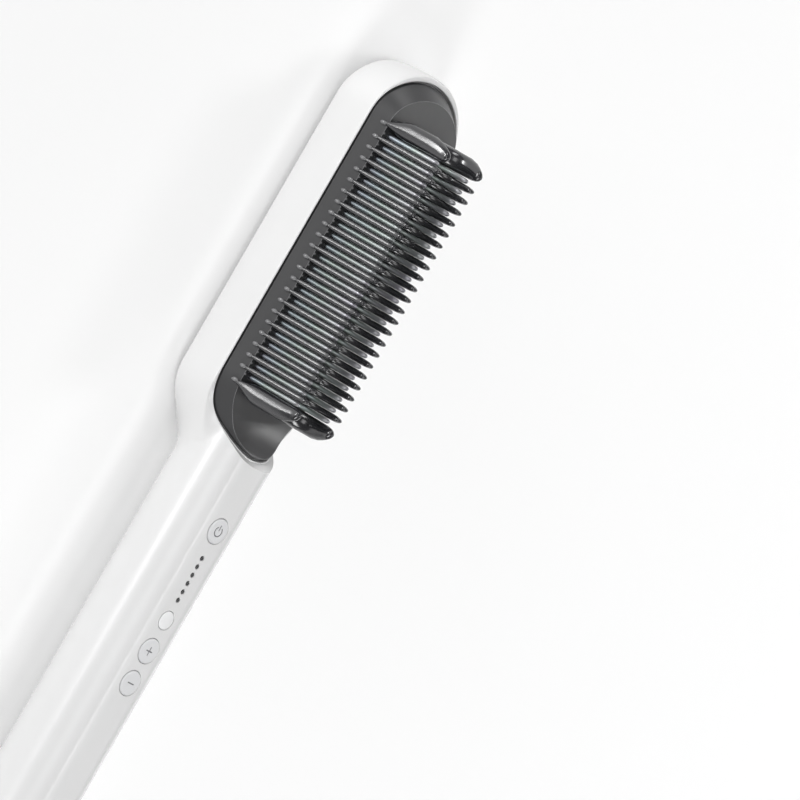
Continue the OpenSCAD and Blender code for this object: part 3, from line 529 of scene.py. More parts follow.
shell = {
    "handleRadius": 14.6, "stripHeight": 12.9, "stripSoft": 0.9, "handleStart": 11.5,
    "rimRound": 0.5, "bulgeHeight": -6.0, "rimPull": 0.3, "backPull": 0.55, "backRound": 0.9,
    "blendWide": 8.6, "blendTop": 5.8, "blendNarrow": 0.7, "jointFrom": 128, "jointTo": 176, "jointFade": 14,
    "pocketGap": 0.2, "pocketFloor": -2.0, "pocketRound": 0.35, "ledge": 1.2, "floor": -11.8, "recessTop": -13.8,
    "hollowRadius": 12.6, "hollowFlat": 10.9, "hollowEnds": (10.5, 147.0),
    "passageRadius": 11.6, "passageTop": -3.0, "passageEnds": (140.0, 158.2),
    "buttonHole": 4.3, "lensHole": 3.2, "lightHole": 0.8, "holeBevel": 0.15,
    "screwHole": 1.35, "screwRecess": 2.25, "screwSeat": -12.3, "screwTop": -11.0, "below": -20.0,
    "edgeHeights": [(0, 10.1), (4.7, 9.75), (8.3, 8.6), (11.8, 6.05), (14.2, 3.4), (16, 1.75),
                    (17.7, 0.7), (19.3, 0.18), (21, 0.0), (24, 0.0)],
}
handleForm = (shell["handleRadius"], shell["stripHeight"], shell["stripSoft"])


def tubeRadius(angle, radius, flat, soft):
    # polar form of the handle's section; angle 0 points up
    lift = np.cos(angle)
    roof = np.where(lift > 0.05, flat / np.maximum(lift, 0.05), 10 * radius)
    return smoothMin(np.full_like(angle, radius), roof, soft)


def tubeRing(x, radius, flat, soft, count=144, inset=0.0):
    angle = np.arange(count) * 2 * pi / count
    reach = tubeRadius(angle, radius, flat, soft) - inset
    return np.column_stack([np.full(count, x), reach * np.sin(angle), reach * np.cos(angle)])


def blendWidth(y, z):
    # angle 0 points down: narrow under the handle, widest at its lower flanks
    angle = np.degrees(np.arctan2(np.abs(y), -z))
    narrow, wide, top = shell["blendNarrow"], shell["blendWide"], shell["blendTop"]
    return narrow + (wide - narrow) * smoothStep(angle, 5, 38) + (top - wide) * smoothStep(angle, 55, 105)


def wallPull(height):
    # the wall is fullest at the bulge and draws in to both edges
    middle = shell["bulgeHeight"]
    up = np.asarray(height) > middle
    pull = np.where(up, shell["rimPull"], shell["backPull"])
    span = np.where(up, -middle, headPlace["depth"] + middle)
    return pull * ((height - middle) / span) ** 2


def headGap(points):
    # distance from the head's rounded block
    r = shell["rimRound"]
    side = outsideDistance(points[:, :2], ovalOutline(headOval)) + wallPull(points[:, 2]) + r
    top = points[:, 2] + r
    return np.hypot(np.maximum(side, 0), np.maximum(top, 0)) + np.minimum(np.maximum(side, top), 0) - r


def handleGap(points):
    angle = np.arctan2(points[:, 1], points[:, 2])
    return np.hypot(points[:, 1], points[:, 2]) - tubeRadius(angle, *handleForm)


def skinGap(points):
    # head and handle run into one another through a hollow fillet
    head, handle = headGap(points), handleGap(points)
    fade = np.clip((shell["jointTo"] - points[:, 0]) / shell["jointFade"], 0.02, 1)
    soft = blendWidth(points[:, 1], points[:, 2]) * fade
    return np.maximum(soft, np.minimum(head, handle)) - np.hypot(np.maximum(soft - head, 0),
                                                                 np.maximum(soft - handle, 0))


def skinSlope(points, step=0.01):
    ways = np.eye(3) * step
    slope = np.column_stack([skinGap(points + way) - skinGap(points - way) for way in ways]) / (2 * step)
    return slope / np.maximum(np.linalg.norm(slope, axis=1), 1e-6)[:, None]


def jointPoints(mesh):
    # the mesh's points in mm, and which of them lie along the joint
    points = np.array([v.co for v in mesh.vertices]) / mm
    return points, (points[:, 0] > shell["jointFrom"]) & (points[:, 0] < shell["jointTo"])


def drawToSkin(body):
    # moves the joint's points onto the filleted skin
    near, rounds, stride = 0.05, 5, 1.5
    points, zone = jointPoints(body.data)
    zone &= points[:, 2] > 1 - headPlace["depth"]
    zone &= np.minimum(np.abs(headGap(points)), np.abs(handleGap(points))) < near
    moved = points[zone]
    for _ in range(rounds):
        moved = moved - skinSlope(moved) * np.clip(skinGap(moved), -stride, stride)[:, None]
    points[zone] = moved
    body.data.vertices.foreach_set("co", (points * mm).ravel())
    body.data.update()
    return body


def smoothSkin(body):
    # the joint is shaded by the fillet's own slope, but not the faces that turn away from it
    near, alike = 0.03, 0.88
    mesh = body.data
    points, zone = jointPoints(mesh)
    zone = np.flatnonzero(zone)
    zone = zone[np.abs(skinGap(points[zone])) < near]
    slopes = dict(zip(zone.tolist(), skinSlope(points[zone])))
    normals = [Vector(n.vector) for n in mesh.corner_normals]
    for face in mesh.polygons:
        for corner in face.loop_indices:
            slope = slopes.get(mesh.loops[corner].vertex_index)
            if slope is not None and face.normal.dot(Vector(slope)) > alike:
                normals[corner] = Vector(slope)
    mesh.normals_split_custom_set(normals)


def headSolid():
    r, back = shell["rimRound"], shell["backRound"]
    low = headPlace["depth"] - back
    pull = float(wallPull(-r))
    steps = [(-pull - inset, 0.0) for inset in
             (10, 8.5, 7.5, 6.5, 5.7, 5, 4.4, 3.8, 3.3, 2.8, 2.4, 2.0, 1.6, 1.2, 0.8, r)]
    steps += [(-pull + r * (sin(a) - 1), r * (cos(a) - 1)) for a in arc(22, 45, 67, 90)]
    heights = [-r - (low - r) * k / 24 for k in range(1, 25)]
    steps += [(-float(wallPull(height)), height) for height in heights]
    steps += [(-float(wallPull(-low)) - back * (1 - cos(a)), -low - back * sin(a))
              for a in arc(22, 45, 67, 90)]
    return loft("shellHead", stack(headOval, steps))


def tubeSolid():
    # rings lie close together where the joint is
    start = shell["handleStart"]
    stations = [start + 0.2, 20, 40, 60, 80, 100, 120, 130, *np.arange(132, 170, 0.6)]
    rings = [tubeRing(start, *handleForm, inset=0.2)] + [tubeRing(x, *handleForm) for x in stations]
    return loft("shellTube", rings)


def edgeHeight(outline):
    # height of the dark cover's edge above the rim, from its distance to the middle plane
    known = np.array(shell["edgeHeights"], float)
    slopes = np.gradient(known[:, 1], known[:, 0])
    slopes[0] = slopes[-1] = slopes[-2] = 0
    y = np.clip(np.abs(outline[:, 1]), 0, 23.9)
    i = np.clip(np.searchsorted(known[:, 0], y, side="right") - 1, 0, len(known) - 2)
    span = known[i + 1, 0] - known[i, 0]
    t = (y - known[i, 0]) / span
    rise = (known[i, 1] * (2 * t ** 3 - 3 * t ** 2 + 1) + slopes[i] * span * (t ** 3 - 2 * t ** 2 + t)
            + known[i + 1, 1] * (3 * t ** 2 - 2 * t ** 3) + slopes[i + 1] * span * (t ** 3 - t ** 2))
    return np.where(outline[:, 0] < headPlace["middle"] - 20, np.maximum(rise, 0), 0.0)


coverEdge = edgeHeight(ovalOutline(coverOval))


def pocketCutter():
    gap, r = shell["pocketGap"], shell["pocketRound"]
    steps = [(gap, shell["pocketFloor"]), (gap, coverEdge - r)]
    steps += [(gap + r * (1 - cos(a)), coverEdge - r + r * sin(a)) for a in arc(30, 60, 90)]
    steps += [(gap + r + 0.5 * rise, coverEdge + rise) for rise in (1, 3, 7, 14)]
    return loft("pocketCut", stack(coverOval, steps))


def stripHole(x, radius):
    # round hole through the handle's flat, bevelled at its mouth
    top, low, bevel = shell["stripHeight"], shell["hollowFlat"] - 1, shell["holeBevel"]
    over = top + 1.05
    return turned("hole", [(0, low), (radius, low), (radius, top - bevel), (radius + bevel, top),
                           (radius + bevel + 1.05, over), (0, over)], (x, 0, 0), sides=48)


def shellCutters():
    s = shell
    bore = [tubeRing(x, s["hollowRadius"], s["hollowFlat"], 0.1, 96) for x in s["hollowEnds"]]
    passage = [tubeRing(x, s["passageRadius"], s["hollowFlat"], 0.1, 96) for x in s["passageEnds"]]
    for ring in passage:
        ring[:, 2] = np.minimum(ring[:, 2], s["passageTop"])
    cuts = [pocketCutter(),
            loft("headHollow", stack(coverOval, [(-s["ledge"], s["floor"]), (-s["ledge"], s["pocketFloor"] + 0.05)])),
            loft("backRecess", stack(bezelOval, [(0.15, -headPlace["depth"] - 1), (0.15, s["recessTop"])])),
            loft("tubeHollow", bore), loft("wirePassage", passage)]
    cuts += [stripHole(x, s["buttonHole"]) for x in buttonPlaces.values()] + [stripHole(lensPlace, s["lensHole"])]
    cuts += [stripHole(x, s["lightHole"]) for x in lightPlaces]
    wide, narrow, low, seat, top = s["screwRecess"], s["screwHole"], s["below"], s["screwSeat"], s["screwTop"]
    profile = [(0, low), (wide, low), (wide, seat), (narrow, seat), (narrow, top), (0, top)]
    return cuts + [turned("screwHole", profile, (x, y, 0), sides=24) for x, y in coverScrews]


def whiteShell():
    body = drawToSkin(combine(headSolid(), tubeSolid(), "UNION"))
    for cut in shellCutters():
        combine(body, cut)
    body.name = "shellBody"
    finishShape(body, 30)
    smoothSkin(body)
    return body


shellBody = whiteShell()
settlePiece(shellBody, finish["white_shell"], "body", "white_shell", "body_shell")
print("shell made:", len(shellBody.data.polygons), "faces")


# dark cover of the head

cover = {
    "platform": 4.8, "rampFoot": 163.5, "rampRadius": 17.8, "rampTop": 10.1, "rampSoft": 0.6,
    "grooveWidth": 0.62, "grooveDepth": 1.4, "slope": 1.36, "edgeRun": 0.78,
    "flankSteps": 9, "topSteps": 12, "reach": 10.0, "bead": 0.16, "beadLift": 0.05,
    "slotHalf": 14.3, "slotGap": 0.75, "slotLow": 1.5, "slotTop": 7.0, "bossLow": -7.0, "bossTop": 3.4,
    "wall": 1.6, "thickness": 2.0, "inside": (3.2, 4.4, 5.6, 7.5, 10.0),
}


def platformHeight(x):
    # platform, then the hollow ramp that climbs to the handle
    back = np.clip(cover["rampFoot"] - x, 0, cover["rampRadius"] - 0.01)
    climb = cover["platform"] + cover["rampRadius"] - np.sqrt(cover["rampRadius"] ** 2 - back ** 2)
    return smoothMin(climb, np.full_like(climb, cover["rampTop"] + 0.15), cover["rampSoft"])


def coverPoint(offset):
    # outline points moved inward, each by its own offset
    rim = ovalOutline(coverOval)
    inward = ovalOutline(coverOval, -1.0) - rim
    return rim + inward * np.reshape(offset, (-1, 1))


def flankHeight(offset):
    return coverEdge + cover["slope"] * (offset - cover["edgeRun"])


def creaseOffset():
    # where the sloping flank meets the platform or the ramp, found by halving
    low, high = np.full(len(coverEdge), cover["edgeRun"]), np.full(len(coverEdge), cover["reach"] - 1)
    for _ in range(40):
        middle = (low + high) / 2
        under = flankHeight(middle) < platformHeight(coverPoint(middle)[:, 0])
        low, high = np.where(under, middle, low), np.where(under, high, middle)
    return np.maximum((low + high) / 2, cover["edgeRun"] + 0.35)


def coverRing(offset, lift=0.0):
    # ring on the flank or on the platform, whichever is lower there
    plan = coverPoint(offset)
    return ringAt(plan, np.minimum(flankHeight(offset), platformHeight(plan[:, 0])) + lift)


def coverRings():
    crease, start, bead, reach = creaseOffset(), cover["edgeRun"], cover["bead"], cover["reach"]
    flank, top = np.linspace(0, 1, cover["flankSteps"]), np.linspace(0, 1, cover["topSteps"] + 1)
    rings = [coverRing(start + (crease - bead - start) * t) for t in flank]
    rings.append(coverRing(crease, cover["beadLift"]))
    return rings + [coverRing(crease + bead + (reach - crease - bead) * t ** 1.25) for t in top]


def crossFill(points, faces, count, columns, height):
    # fills the last ring with strips across the middle plane; height(y) may lift the strips' points
    base, half, rows = len(points) - count, count // 2, []
    for i in range(1, half):
        a, b = base + i, base + count - i
        row = [a]
        for t in np.arange(1, columns) / columns:
            point = points[a] * (1 - t) + points[b] * t
            if height:
                point[2] = height(point[1])
            points.append(point)
            row.append(len(points) - 1)
        rows.append(row + [b])
    for one, two in zip(rows, rows[1:]):
        faces += [(one[c], one[c + 1], two[c + 1], two[c]) for c in range(columns)]
    faces += [(base, *rows[0]), (base + half, *rows[-1][::-1])]


def hollowSolid(name, outer, inner, columns, height=None):
    # an outer and an inner stack of rings that start from one ring, each filled across at its end
    points, faces = [], []
    for rings, across, way, lift in ((outer, columns[0], 1, height), (inner, columns[1], -1, None)):
        skin, around = [p for ring in rings for p in ring], ringFaces(len(rings), len(rings[0]))
        crossFill(skin, around, len(rings[0]), across, lift)
        faces += [tuple(len(points) + k for k in face[::way]) for face in around]
        points += skin
    return solidFrom(name, points, faces)


def firstTooth(count):
    return comb["middle"] - (count - 1) / 2 * comb["pitch"]


def coverShape():
    edge, low = coverEdge, shell["pocketFloor"]
    groove, wide, wall = edge - cover["grooveDepth"], cover["grooveWidth"], cover["wall"]
    outer = stack(coverOval, [(-wall, low), (0, low), (0, groove), (-wide, groove),
                              (-wide - 0.05, edge - 0.3), (-wide - 0.13, edge - 0.1)]) + coverRings()
    inner = stack(coverOval, [(-wall, low), (-wall - 0.5, edge - 0.9)])
    inner += [coverRing(offset, -cover["thickness"]) for offset in cover["inside"]]
    body = hollowSolid("coverBody", outer, inner, (10, 10))
    half, gap = cover["slotHalf"], cover["slotGap"]
    middles = [firstTooth(comb["fins"]) + i * comb["pitch"] for i in range(comb["fins"])]
    combine(body, joinPieces([prism("slot", rectangle(x - gap, -half, x + gap, half), cover["slotLow"],
                                    cover["slotTop"]) for x in middles]))
    return joinPieces([body] + [screwBoss(x, y, cover["bossLow"], cover["bossTop"]) for x, y in coverScrews])


coverBody = finishShape(coverShape(), 24)
settlePiece(coverBody, finish["dark_plastic"], "body", "dark_plastic", "comb_cover")
print("cover made:", len(coverBody.data.polygons), "faces")


# teeth of the comb

guardTooth = {"root": 18.0, "rootHeight": 3.2, "spread": 8.8, "top": 26.0, "valley": 14.0, "tip": 1.5,
              "low": 2.2, "edge": 1.15, "footTop": 8.0, "foot": 0.58}
finTooth = {"root": 14.0, "rootHeight": 2.55, "spread": 8.0, "top": 22.6, "valley": 12.0, "tip": 1.5,
            "low": 2.4, "edge": 0.6, "footTop": 6.5, "foot": 0.7}


def toothShape(name, t, half, rise, lean=0.0, fillet=0.0):
    # right half as rows of points at rising heights, then mirrored; rounded on all its free edges
    inner = t["spread"] - t["tip"]
    tipZ, valleyZ = t["top"] - t["tip"], t["valley"] + inner
    rounding = max(t["edge"], 0.94 * half)

    def tipHalf(z):
        return sqrt(max(0, t["tip"] ** 2 - (z - tipZ) ** 2))

    def outerEdge(z):
        if z > tipZ:
            return t["spread"] + tipHalf(z)
        return t["root"] + (t["spread"] + t["tip"] - t["root"]) * (z - t["rootHeight"]) / (tipZ - t["rootHeight"])

    def innerEdge(z):
        if z <= t["valley"]:
            return 0.0
        if z > tipZ:
            return t["spread"] - tipHalf(z)
        if z > valleyZ:
            return inner
        return sqrt(max(0, inner ** 2 - (valleyZ - z) ** 2))

    def overTop(z):
        # 0 where the tooth starts to thin out, 1 at its top
        return max(0, z - (t["top"] - rise)) / rise

    def width(z):
        # blunt towards the tip, drawn in at the foot
        over = overTop(z)
        foot = t["foot"] + (1 - t["foot"]) * smoothStep(z, t["low"] + 1.5, t["footTop"])
        return max(0.1, half * (1 - over ** 2.2) ** 0.5 if over < 1 else 0.1) * foot

    def middle(z):
        # thick teeth lean away from the comb between their foot and their tip
        return lean * (0.25 + 0.75 * smoothStep(z, 4, 11)) * (1 - min(1, overTop(z)) ** 1.6)

    v = t["valley"]
    heights = [t["low"] + up for up in (0, 0.4, 1.0)] + [4.0, 4.7, 5.5, 6.4, 7.4, 8.6, 10.0]
    heights += [v + up for up in (-2.6, -1.6, -0.9, -0.5, -0.25, -0.1, 0, 0.04, 0.15, 0.4, 0.9, 1.7, 2.9, 4.4)]
    heights += [valleyZ] + [tipZ + up for up in (-1.2, 0, 0.45, 0.85, 1.15, 1.35, 1.46)] + [t["top"]]
    heights = sorted(set(heights + ([4.9, 5.05, 5.25, 5.9, 6.9] if fillet else [])))
    fractions = [0.0, 0.04, 0.15, 0.35, 0.65, 1.0] + ([1.5, 2.2] if lean else [])
    bend = np.linspace(0, pi, 90)
    free = np.concatenate([  # close points along the free edges, in (y, z)
        np.column_stack([np.linspace(outerEdge(t["low"]), outerEdge(tipZ), 300), np.linspace(t["low"], tipZ, 300)]),
        np.column_stack([t["spread"] + t["tip"] * np.cos(bend), tipZ + t["tip"] * np.sin(bend)]),
        np.column_stack([np.full(60, inner), np.linspace(valleyZ, tipZ, 60)]),
        np.column_stack([inner * np.sin(bend / 2), valleyZ - inner * np.cos(bend / 2)])])
    columns = 2 * len(fractions) + 1
    front, back = [], []
    for z in heights:
        a, b = innerEdge(z), outerEdge(z)
        edge = min(rounding, (b - a) / 2.001 / fractions[-1])
        reach = rounding * max(0.35, min(1, width(z) / half))
        down = max(0, fillet - max(0, z - cover["platform"]))
        hollow = fillet - sqrt(max(0, fillet ** 2 - down ** 2))
        ys = [a + edge * f for f in fractions] + [(a + b) / 2] + [b - edge * f for f in fractions[::-1]]
        for k, y in enumerate(ys):
            gap = np.sqrt(((free - [y, z]) ** 2).sum(1)).min()
            onEdge = k == columns - 1 or (k == 0 and z >= v) or z >= t["top"]
            bow = 0.0 if onEdge else width(z) * sqrt(max(0, 1 - (1 - min(gap / reach, 1)) ** 2))
            front.append((middle(z) + bow + hollow * smoothStep(gap, 0.6, 5.5), y, z))
            back.append((middle(z) - bow, y, z))
    rows = len(heights)
    points, faces = [], []
    for flip in (1, -1):
        for sheet in (front, back):
            start = len(points)
            points += [(x, flip * y, z) for x, y, z in sheet]
            faces += [tuple(start + k for k in face) for face in ringFaces(rows, columns, wrap=False)]
        one, two = len(points) - 2 * rows * columns, len(points) - rows * columns
        faces += [(one + k, one + k + 1, two + k + 1, two + k) for k in range(columns - 1)]
    return solidFrom(name, points, faces)


def alongLine(name, material):
    # geometry nodes: repeats the incoming shape on a straight line
    tree = bpy.data.node_groups.new(name, "GeometryNodeTree")
    for label, kind in (("Geometry", "Geometry"), ("Count", "Int"), ("Start", "Vector"), ("Step", "Vector")):
        tree.interface.new_socket(label, in_out="INPUT", socket_type="NodeSocket" + kind)
    tree.interface.new_socket("Geometry", in_out="OUTPUT", socket_type="NodeSocketGeometry")
    inn, end = node(tree, "NodeGroupInput"), tree.nodes.new("NodeGroupOutput").inputs
    line = node(tree, "GeometryNodeMeshLine", {
        "Count": inn["Count"], "Start Location": inn["Start"], "Offset": inn["Step"]}, mode="OFFSET")["Mesh"]
    copies = node(tree, "GeometryNodeInstanceOnPoints", {"Points": line, "Instance": inn["Geometry"]})["Instances"]
    real = node(tree, "GeometryNodeRealizeInstances", {"Geometry": copies})["Geometry"]
    painted = node(tree, "GeometryNodeSetMaterial", {"Geometry": real, "Material": material})["Geometry"]
    feed(tree, end["Geometry"], painted)
    return tree


def repeatAlong(piece, name, material, count, start, step):
    tree = alongLine(name, material)
    grow = piece.modifiers.new(name, "NODES")
    grow.node_group = tree
    keys = {item.name: item.identifier for item in tree.interface.items_tree if item.in_out == "INPUT"}
    grow[keys["Count"]] = count
    grow[keys["Start"]] = tuple(c * mm for c in start)
    grow[keys["Step"]] = tuple(c * mm for c in step)
    settle(piece)
    piece.name = name
    return piece


combSizes = {"guardThickness": 2.1, "guardRise": 4.0, "finThickness": 1.6, "finRise": 2.6,
             "endBack": 1.9, "endFront": 4.22, "endFillet": 2.2, "endPlace": comb["endInner"] + 2.08,
             "endFoot": {"foot": 0.24, "footTop": 10.5},
             "guardKnob": (17.8, 3.6, 0.66, 1.1), "finKnob": (16.2, 4.5, 0.5, 0.62),  # out, up, radius, half length
             "knobTurn": 20}


def toothRow(single, name, tooth, thickness, rise, count, material):
    shape = finishShape(toothShape(single, tooth, thickness / 2, rise), 50, False)
    return repeatAlong(shape, name, material, count, (firstTooth(count), 0, 0), (comb["pitch"], 0, 0))


def rootKnobs(place, count, start, step):
    # small round feet in front of the teeth, on both sides of the comb, lying along the teeth's edges; their pale
    # grey finish is a painted highlight
    out, up, r, long = place
    rows = []
    for side in (-1, 1):
        profile = [(r * sin(a), -long * cos(a)) for a in np.radians(np.arange(0, 181, 22.5))]
        knob = turned("knob", profile, (0, 0, 0), sides=14)
        knob.data.transform(Matrix.Translation((0, side * out * mm, up * mm))
                            @ Matrix.Rotation(radians(combSizes["knobTurn"] * side), 4, "X"))
        rows.append(repeatAlong(finishShape(knob, 80, False), "rootKnobs", finish["knob"], count,
                                (start, 0, 0), (step, 0, 0)))
    return rows


def endTooth(way):
    # thick tooth at one end of the comb, mirrored for the other end
    half, lean = ((combSizes["endFront"] + side * combSizes["endBack"]) / 2 for side in (1, -1))
    tooth = toothShape("endTooth", {**guardTooth, **combSizes["endFoot"]}, half, 2 * combSizes["guardRise"],
                       lean, combSizes["endFillet"])
    tooth.data.transform(Matrix.Translation((mm * (comb["middle"] + way * combSizes["endPlace"]), 0, 0))
                         @ Matrix.Scale(way, 4, (1, 0, 0)))
    if way < 0:
        tooth.data.flip_normals()
    return tooth


def combPieces():
    c, fins, pitch = combSizes, comb["fins"], comb["pitch"]
    guards = toothRow("guardTooth", "guardTeeth", guardTooth, c["guardThickness"], c["guardRise"],
                      fins - 1, finish["guard"])
    heating = toothRow("finTooth", "heatingFins", finTooth, c["finThickness"], c["finRise"],
                       fins, finish["coated_aluminium"])
    ends = finishShape(joinPieces([endTooth(1), endTooth(-1)]), 50, False)
    ends.name = "endTeeth"
    knobs = rootKnobs(c["guardKnob"], fins - 1, firstTooth(fins - 1), pitch)
    knobs += rootKnobs(c["finKnob"], fins, firstTooth(fins), pitch)
    knobs += rootKnobs(c["guardKnob"], 2, comb["middle"] - c["endPlace"], 2 * c["endPlace"])
    return guards, heating, ends, joinPieces(knobs)


guardTeeth, heatingFins, endTeeth, toothKnobs = combPieces()
plateBase = {"length": 94.6, "width": 28.8, "bevel": 0.3, "low": 0.2, "top": 2.6,
             "bossX": 36.0, "bossY": 11.0, "bossLow": -3.4}


def heatingPlateBase():
    p = plateBase
    rings = []
    for inset, height in ((p["bevel"], p["low"]), (0, p["low"] + p["bevel"]), (0, p["top"] - p["bevel"]),
                          (p["bevel"], p["top"])):
        x, y = p["length"] / 2 - inset, p["width"] / 2 - inset
        rings.append(ringAt(rectangle(comb["middle"] - x, -y, comb["middle"] + x, y), height))
    bosses = [screwBoss(comb["middle"] + x, y, p["bossLow"], p["low"] + 0.1)
              for x in (-p["bossX"], p["bossX"]) for y in (-p["bossY"], p["bossY"])]
    base = finishShape(joinPieces([loft("plateBase", rings)] + bosses), 30, False)
    return paint(base, finish["coated_aluminium"])


joinPieces([heatingFins, heatingPlateBase()])
settlePiece(guardTeeth, None, "body", "dark_plastic", "comb_cover")
settlePiece(endTeeth, finish["guard"], "body", "dark_plastic", "comb_cover")
settlePiece(toothKnobs, None, "body", "dark_plastic", "comb_cover")
settlePiece(heatingFins, None, "body", "coated_aluminium", "heating_plate")
print("comb made:", len(guardTeeth.data.polygons), len(heatingFins.data.polygons), "faces")


# buttons, level lights and lens on the strip

button = {"radius": 4.14, "top": 13.2, "low": 10.3, "flange": 4.9, "flangeTop": 10.85, "stem": 1.5,
          "stemLow": 9.9, "dish": 0.06, "signDepth": 0.15, "signWidth": 0.42, "signRadius": 1.55}
signArc = np.radians(np.linspace(38, 322, 41))
signs = {"power": [button["signRadius"] * np.column_stack([np.cos(signArc), np.sin(signArc)]),
                   [(0.45, 0), (1.2, 0), (2.0, 0)]],
         "plus": [[(-1.3, 0), (0, 0), (1.3, 0)], [(0, -1.3), (0, 0), (0, 1.3)]],
         "minus": [[(0, -1.35), (0, 0), (0, 1.35)]]}


def buttonShape(kind, x):
    b = button
    top, floor = b["top"], b["top"] - b["dish"] - b["signDepth"]
    profile = roundCorners([(0, b["stemLow"], 0), (b["stem"], b["stemLow"], 0.1), (b["stem"], b["low"], 0),
                            (b["flange"], b["low"], 0.12), (b["flange"], b["flangeTop"], 0.12),
                            (b["radius"], b["flangeTop"], 0), (b["radius"], top, 0.45),
                            (2.4, top - b["dish"] * 0.7, 0.6), (0, top - b["dish"], 0)], 5)
    piece = turned(kind + "Button", profile, (x, 0, 0), sides=96)
    for path in signs[kind]:
        combine(piece, prism("sign", strokeOutline(path, b["signWidth"]) + [x, 0], floor, top + 1))
    finishShape(piece, 30)
    paint(piece, finish["button_white"])
    piece.data.materials.append(finish["sign"])
    for face in piece.data.polygons:  # the floor of the sign is painted grey
        if b["flangeTop"] * mm < face.center.z < (floor + 0.01) * mm and face.normal.z > 0.9:
            face.material_index = 1
    return piece


for kind, x in buttonPlaces.items():
    settlePiece(buttonShape(kind, x), None, kind + "_key", "button_white", kind + "_button")

lights = {"radius": 0.72, "top": 12.9, "low": 10.85, "barHalf": 1.4, "barLow": 8.9, "barTop": 10.9,
          "footRadius": 0.7, "footLow": 6.5}


def levelLights():
    s = lights
    first, step, end = lightPlaces[0], lightPlaces[1] - lightPlaces[0], lightPlaces[-1]
    pin = turned("lightPin", roundCorners([(0, s["low"], 0), (s["radius"], s["low"], 0), (s["radius"], s["top"], 0.3),
                                           (0, s["top"] + 0.03, 0)], 4), (0, 0, 0), sides=32)
    pins = repeatAlong(finishShape(pin, 40, False), "levelLights", finish["guide_dark"], len(lightPlaces),
                       (first, 0, 0), (step, 0, 0))
    half, r, low, top = s["barHalf"], s["footRadius"], s["footLow"], s["barLow"] + 0.05
    bar = prism("guideBar", rectangle(end - half, -half, first + half, half), s["barLow"], s["barTop"])
    feet = [turned("guideFoot", [(0, low), (r, low), (r, top), (0, top)], (x, 0, 0), sides=20) for x in lightPlaces]
    bar = finishShape(joinPieces([bar] + feet), 30, False)
    return joinPieces([pins, paint(bar, finish["guide_dark"])])


settlePiece(levelLights(), None, "body", "guide_dark", "level_light_guide")
lensProfile = [(0, 6.5, 0), (1.5, 6.5, 0.1), (1.5, 9.9, 0), (3.65, 9.9, 0.1), (3.65, 10.88, 0.1), (3.05, 10.88, 0),
               (3.05, 12.9, 0.22), (1.6, 12.93, 0.5), (0, 12.94, 0)]  # radius, height, rounding
lens = turned("indicatorLens", roundCorners(lensProfile, 4), (lensPlace, 0, 0), sides=72)
settlePiece(finishShape(lens, 30), finish["lens_white"], "body", "lens_white", "indicator_lens")
print("controls made")


# back trim: bezel ring and plate

trim = {"bezelLow": -16.0, "plateLow": -17.2, "top": -13.82, "round": 0.18, "gap": 0.15,
        "plateStep": 0.4, "plateRim": 1.8, "crown": 0.12, "crownHalf": 17.0, "edgeRound": 0.28}


def bezelRing():
    low, top, r, gap = trim["bezelLow"], trim["top"], trim["round"], trim["gap"]
    bends = [(r * (1 - cos(a)), low + r * (1 - sin(a))) for a in (0.5, 1.05, 1.57)]
    rings = stack(bezelOval, [(0, top), (0, low + r)] + [(-inset, height) for inset, height in bends])
    rings += stack(plateOval, [(gap + inset, height) for inset, height in bends[::-1]] + [(gap, low + r), (gap, top)])
    return finishShape(loftLoop("bezelRing", rings), 30)


def crownHeight(y):
    # the plate's back bulges out a little along its middle
    return trim["plateLow"] + trim["crown"] * np.clip(np.abs(y) / trim["crownHalf"], 0, 1) ** 2


def backPlate():
    low, top, step, rim = trim["plateLow"], trim["top"], trim["plateStep"], trim["plateRim"]
    outer = stack(plateOval, [(-rim, top), (0, top), (0, low + step + 0.1), (-0.1, low + step),
                              (-step, low + step - 0.02)])
    for offset in (step, 0.45, 0.6, 0.9, 1.6, 3.0, 5.0, 7.5, 10.0):
        outline = ovalOutline(plateOval, -offset)
        bend = 1 - sqrt(max(0, 1 - (1 - min((offset - step) / 0.5, 1)) ** 2))
        outer.append(ringAt(outline, crownHeight(outline[:, 1]) + trim["edgeRound"] * bend))
    inner = stack(plateOval, [(-rim, top), (-rim, low + 1.2), (-8.0, low + 1.2)])
    return finishShape(hollowSolid("backPlate", outer, inner, (12, 6), crownHeight), 30)


settlePiece(bezelRing(), finish["bezel_silver"], "body", "bezel_silver", "back_bezel")
settlePiece(backPlate(), finish["plate_silver"], "body", "plate_silver", "back_plate")
print("back trim made")


# end cap, its screws and the cord's gland

endCap = {"face": 9.0, "seam": 11.5, "bevel": 1.0, "bore": 6.5, "boreWall": 1.4, "spigot": 17.0,
          "spigotRadius": 12.45, "spigotFlat": 10.75, "screwY": 9.75, "screwBore": 1.35, "boreEnd": 18.5,
          "recess": 2.25, "recessDepth": 1.5, "recessBevel": 0.15}


